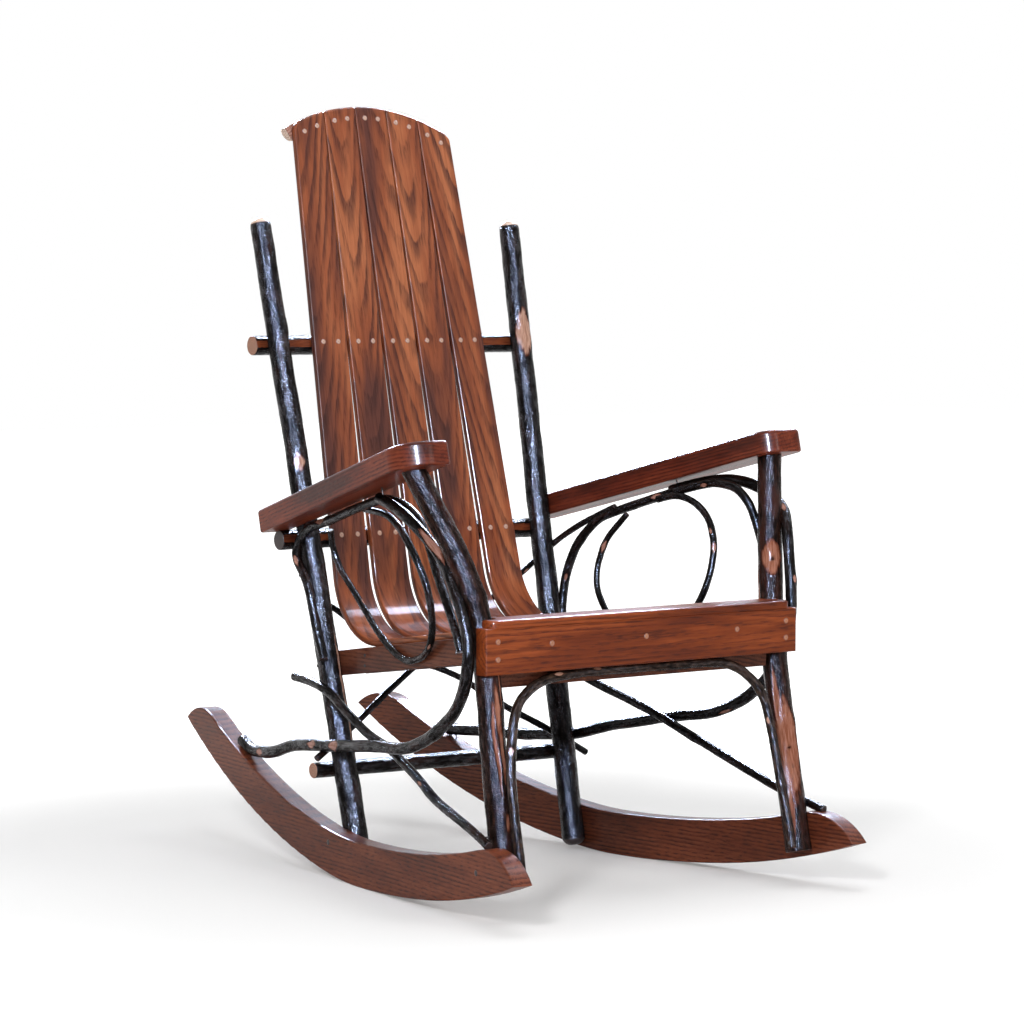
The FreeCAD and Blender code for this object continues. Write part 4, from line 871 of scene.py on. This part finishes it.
def makeSlat(index):
    up, behind = backWays()
    places, start, bendEnd = slatPath()
    last = slats["count"] - 1
    offset = Vector((*slats["heart"][index], slats["apart"] * index))
    top = backPlace(slats["backHeight"], chair["backOffset"])
    view = (seatWay() - up).normalized()
    run = Vector((0, chair["apronRear"], chair["seatHeight"])) - top
    run -= view * run.dot(view)
    backLength = (backPlace(slats["backHeight"], chair["backOffset"] - slats["thick"] / 2) - start).dot(up)

    # The slat's middle line and half width: it widens from its crown to its front
    def edgesAt(place):
        share = (place - top).dot(run) / run.dot(run)
        pitch = slats["topPitch"] + (slats["frontPitch"] - slats["topPitch"]) * share
        width = slats["topWidth"] + (slats["frontWidth"] - slats["topWidth"]) * share
        return (index - last / 2) * pitch, width / 2

    # How far up the back the crown lets a line at this x go
    def crownAt(x, edgeX):
        arc, corner = slats["arcRadius"], slats["cornerRound"]
        rise = sqrt(arc ** 2 - (x - slats["arcX"]) ** 2) - arc
        inside = abs(edgeX) - abs(x)
        if index in (0, last) and inside < corner:
            bite = corner - max(0.0, inside)
            rise -= corner - sqrt(corner ** 2 - bite ** 2)
        return backLength + rise

    # a corner's grain is how far it lies across, through and along the slat
    def grainAt(x, n, walked):
        return (Vector((x, n, walked)) * mm + offset,)

    def ringFor(place, outward, walked):
        middle, half = edgesAt(place)
        section = slatSection(half)
        return ([(place + Vector((middle + x, 0, 0)) + outward * n) * mm for x, n in section],
                [grainAt(x, n, walked) for x, n in section])

    stations = [ringFor(*station) for station in places]
    lowest = backLength - slats["crownZone"]
    count = round(lowest / (slats["step"] * slats["backStep"]))
    for number in range(count + 1):
        stations.append(ringFor(start + up * lowest * number / count, -behind,
                                bendEnd + lowest * number / count))
    edge = slats["crownRound"]
    crown = [(share, 0.0, 0.0) for share in slats["crownShares"]] + [(1.0, 0.0, edge)]
    crown += [(1.0, edge * (1 - cos(turn)), edge * (1 - sin(turn))) for turn in slats["crownTurns"]]
    middle, half = edgesAt(start + up * backLength)
    edgeX = middle + (half if index == last else -half)
    for share, inset, short in crown:
        points = []
        marks = []
        for x, n in slatSection(half, inset):
            length = lowest + (crownAt(middle + x, edgeX) - short - lowest) * share
            place = start + up * length
            atMiddle, atHalf = edgesAt(place)
            points.append((place + Vector((atMiddle + x * (atHalf / half), 0, 0)) - behind * n) * mm)
            marks.append(grainAt(x, n, bendEnd + length))
        stations.append((points, marks))
    mesh = bmesh.new()
    rings = makeTube(mesh, stations, [mesh.verts.layers.float_vector.new("grain")])
    for ring in (rings[0], rings[-1]):
        closeRing(mesh, ring, 0)
    finishPiece("slat%d" % (index + 1), mesh, [slatOak])


for index in range(slats["count"]):
    makeSlat(index)
print("slats made")

# The cleat behind the crown: half of a bent stick, its flat side on the slats and its top
# trimmed level with them
cleat = {"radius": 14.0, "drop": 8.0, "ends": (-148.5, 135.5), "step": 4.0, "sides": 26,
         "lumps": (0.04, 0.04), "ridges": (0.3, 0.25)}


def makeCleat():
    up, behind = backWays()
    centre = backPlace(slats["backHeight"], chair["backOffset"]) - up * slats["arcRadius"]
    centre.x = slats["arcX"]
    radius = slats["arcRadius"] - cleat["drop"]
    (lumps, lumpScale), (ridges, ridgeScale) = cleat["lumps"], cleat["ridges"]
    start, end = [asin((reach - slats["arcX"]) / radius) for reach in cleat["ends"]]
    count = round((end - start) * radius / cleat["step"])
    mesh = bmesh.new()
    layers = barkLayers(mesh)
    mapLayer = mesh.loops.layers.uv.new("ends")
    body = []
    for number in range(count + 1):
        angle = start + (end - start) * number / count
        rise = up * cos(angle) + Vector((sin(angle), 0, 0))
        points = []
        marks = []
        for side in range(cleat["sides"]):
            turn = tau * side / cleat["sides"]
            spot = centre + rise * radius + behind * cleat["radius"] * max(0, cos(turn))
            size = cleat["radius"] * (1 + lumps * noise.noise(spot * lumpScale))
            size += ridges * noise.noise(spot * ridgeScale)
            back = max(0.0, size * cos(turn))
            lift = size * sin(turn)
            bare = lift > cleat["drop"] or back == 0
            points.append((centre + rise * (radius + min(lift, cleat["drop"])) + behind * back) * mm)
            marks.append((0.8 if bare else -1.0, 0.0, Vector((lift, back, radius * angle)) * mm))
        body.append((points, marks))
    rings = makeTube(mesh, body, layers)
    for ring in (rings[0], rings[-1]):
        middle = sum((corner.co for corner in ring), Vector()) / len(ring)
        for face in closeRing(mesh, ring, 1):
            mapEnd(face, mapLayer, middle, up, behind)
    finishPiece("topCleat", mesh, [stickBark, postEnd])


makeCleat()

# Wood plugs, sanded almost flush: a low dome stands where each of the frame's plugs is. Root and
# face are heights from the middle of the frame's plug, and the dome is shares of radius and proud.
plugs = {"radius": 4.05, "root": -3.0, "face": 2.0, "proud": 0.35, "dome": ((0.93, 0.6), (0.55, 1.0)),
         "sides": 20}


def plugMiddles(node):
    mesh = bmesh.new()
    mesh.from_mesh(nodes[node].data)
    bmesh.ops.remove_doubles(mesh, verts=mesh.verts[:], dist=1e-5)
    waiting = set(mesh.verts)
    middles = []
    while waiting:
        group = [waiting.pop()]
        for corner in group:
            for edge in corner.link_edges:
                other = edge.other_vert(corner)
                if other in waiting:
                    waiting.remove(other)
                    group.append(other)
        low = Vector([min(corner.co[axis] for corner in group) for axis in range(3)])
        high = Vector([max(corner.co[axis] for corner in group) for axis in range(3)])
        middles.append((low + high) / 2)
    mesh.free()
    return sorted(middles, key=tuple)


def makePlugs(name, wayFor, material):
    mesh = bmesh.new()
    mapLayer = mesh.loops.layers.uv.new("ends")
    rows = [(1.0, plugs["root"]), (1.0, plugs["face"])]
    rows += [(share, plugs["face"] + rise * plugs["proud"]) for share, rise in plugs["dome"]]
    for middle in plugMiddles(nodeFor(name)):
        way = wayFor(middle)
        across = way.orthogonal().normalized()
        other = way.cross(across)
        known = set(mesh.faces)
        turns = [tau * side / plugs["sides"] for side in range(plugs["sides"])]
        radials = [across * cos(turn) + other * sin(turn) for turn in turns]
        rings = makeTube(mesh, [
            ([middle + (radial * plugs["radius"] * share + way * height) * mm for radial in radials], ())
            for share, height in rows])
        closeRing(mesh, rings[0], 0)
        closeRing(mesh, rings[-1], 0)
        for face in mesh.faces:
            if face not in known:
                mapEnd(face, mapLayer, middle, across, other)
    finishPiece(name, mesh, [material])


backOut = -backWays()[1]
armSlope, toe = radians(chair["armSlope"]), radians(chair["runnerToe"])
armUp = Vector((0, sin(armSlope), cos(armSlope)))
makePlugs("backPlugs", lambda middle: backOut, backPlugEnd)
makePlugs("apronPlugs", lambda middle: Vector((0, -1, 0)), plugEnd)
makePlugs("armPlugs", lambda middle: armUp, plugEnd)
makePlugs("rockerPlugs", lambda middle: Vector((copysign(cos(toe), middle.x), sin(toe), 0)),
          darkEnd)
print("cleat and plugs made")

# Boards, screws and nails keep the frame's own shapes and get their finishes
finishes = {
    "apron_board": apronOak, "seat_front_cap": apronOak, "arm_left": armOak, "arm_right": armOak,
    "rocker_left": rockerOak, "rocker_right": rockerOak, "front_seat_rail": railOak,
    "rear_seat_rail": railOak, "side_seat_rail_left": railOak, "side_seat_rail_right": railOak,
    "screws": screwSteel, "nails": nailSteel,
}
for name, node in nodes.items():
    finish = finishes.get(name) or finishes.get(name.split("_")[-1])
    if finish:
        node.data.materials.clear()
        node.data.materials.append(finish)
print("boards and metal finished")

# Floor, light and camera. The floor turns to plain white between two distances from the chair.
stage = {"floorHalf": 14.0, "floor": "E2E2E2", "floorLift": 0.23, "whiteFrom": 0.7, "whiteTo": 1.7,
         "worldLight": 0.40, "aim": (0, -0.1, 0.5), "highlight": "D4E2FF"}
# Each lamp's place, size and power. Highlights are bluish and show only as gloss in the varnish.
lamps = {
    "keySoftbox": ((-3.3, -2.7, 2.5), 0.7, 95.0),
    "topSoftbox": ((0.4, -0.2, 3.6), 2.6, 54.0),
    "frontSoftbox": ((0.9, -4.0, 1.6), 1.0, 34.0),
    "stripHighlight": ((-2.7, -3.7, 1.8), 0.5, 2300.0),
    "windowHighlight": ((1.95, -0.2, 2.9), 0.6, 85.0),
    "highHighlight": ((2.5, 1.7, 2.9), 0.8, 800.0),
    "rearHighlight": ((0.9, 3.3, 2.5), 0.8, 700.0),
}


# White as the eye, a mirror or clear glass sees it, and less for plain light
def seenShare(material):
    seen = 0.0
    for ray in ("Is Camera Ray", "Is Glossy Ray", "Is Transmission Ray"):
        share = addNode(material, "LightPath", {}, output=ray)
        seen = addNode(material, "Math", {0: seen, 1: share}, {"operation": "ADD", "use_clamp": True})
    return seen


floorMesh = bmesh.new()
bmesh.ops.create_grid(floorMesh, x_segments=4, y_segments=4, size=stage["floorHalf"])
floorData = bpy.data.meshes.new("floor")
floorMesh.to_mesh(floorData)
floorMesh.free()
floor = addObject("floor", floorData)
floorPaint = startMaterial("matt white floor")
floorPaint.node_tree.nodes.clear()
place = addNode(floorPaint, "TexCoord", {}, output="Object")
away = addNode(floorPaint, "VectorMath", {0: place}, asLength, "Value")
lift = addNode(floorPaint, "MapRange", {
    "Value": away, "From Min": stage["whiteFrom"], "From Max": stage["whiteTo"],
    "To Min": stage["floorLift"], "To Max": 1.0,
}, {"interpolation_type": "SMOOTHSTEP"})
lift = addNode(floorPaint, "Math", {0: seenShare(floorPaint), 1: lift}, multiply)
matt = addNode(floorPaint, "BsdfDiffuse", {"Color": stage["floor"]})
glow = addNode(floorPaint, "Emission", {"Color": "FFFFFF", "Strength": lift})
both = addNode(floorPaint, "AddShader", {0: matt, 1: glow})
addNode(floorPaint, "OutputMaterial", {"Surface": both})
floorData.materials.append(floorPaint)

world = bpy.data.worlds.new("studio")
scene.world = world
world.use_nodes = True
world.node_tree.nodes.clear()
level = addNode(world, "Math", {0: seenShare(world), 1: 1.0 - stage["worldLight"], 2: stage["worldLight"]},
                multiplyAdd)
sky = addNode(world, "Background", {"Color": "FFFFFF", "Strength": level})
addNode(world, "OutputWorld", {"Surface": sky})

for name, (place, size, power) in lamps.items():
    data = bpy.data.lights.new(name, "AREA")
    data.shape = "SQUARE"
    data.size = size
    data.energy = power
    lamp = addObject(name, data)
    lamp.location = place
    lamp.rotation_euler = (Vector(stage["aim"]) - Vector(place)).to_track_quat("-Z", "Y").to_euler()
    if name.endswith("Highlight"):
        data.color = colour(stage["highlight"])[:3]
        lamp.visible_diffuse = False

camera = addObject("camera", bpy.data.cameras.new("camera"))
camera.location = viewer["place"]
camera.data.lens = viewer["lens"]
camera.data.sensor_width = 36.0
yaw, pitch = radians(viewer["yaw"]), radians(viewer["pitch"])
look = Vector((sin(yaw) * cos(pitch), cos(yaw) * cos(pitch), -sin(pitch)))
camera.rotation_euler = look.to_track_quat("-Z", "Y").to_euler()
scene.camera = camera
scene.view_settings.view_transform = "Standard"
print("stage made")
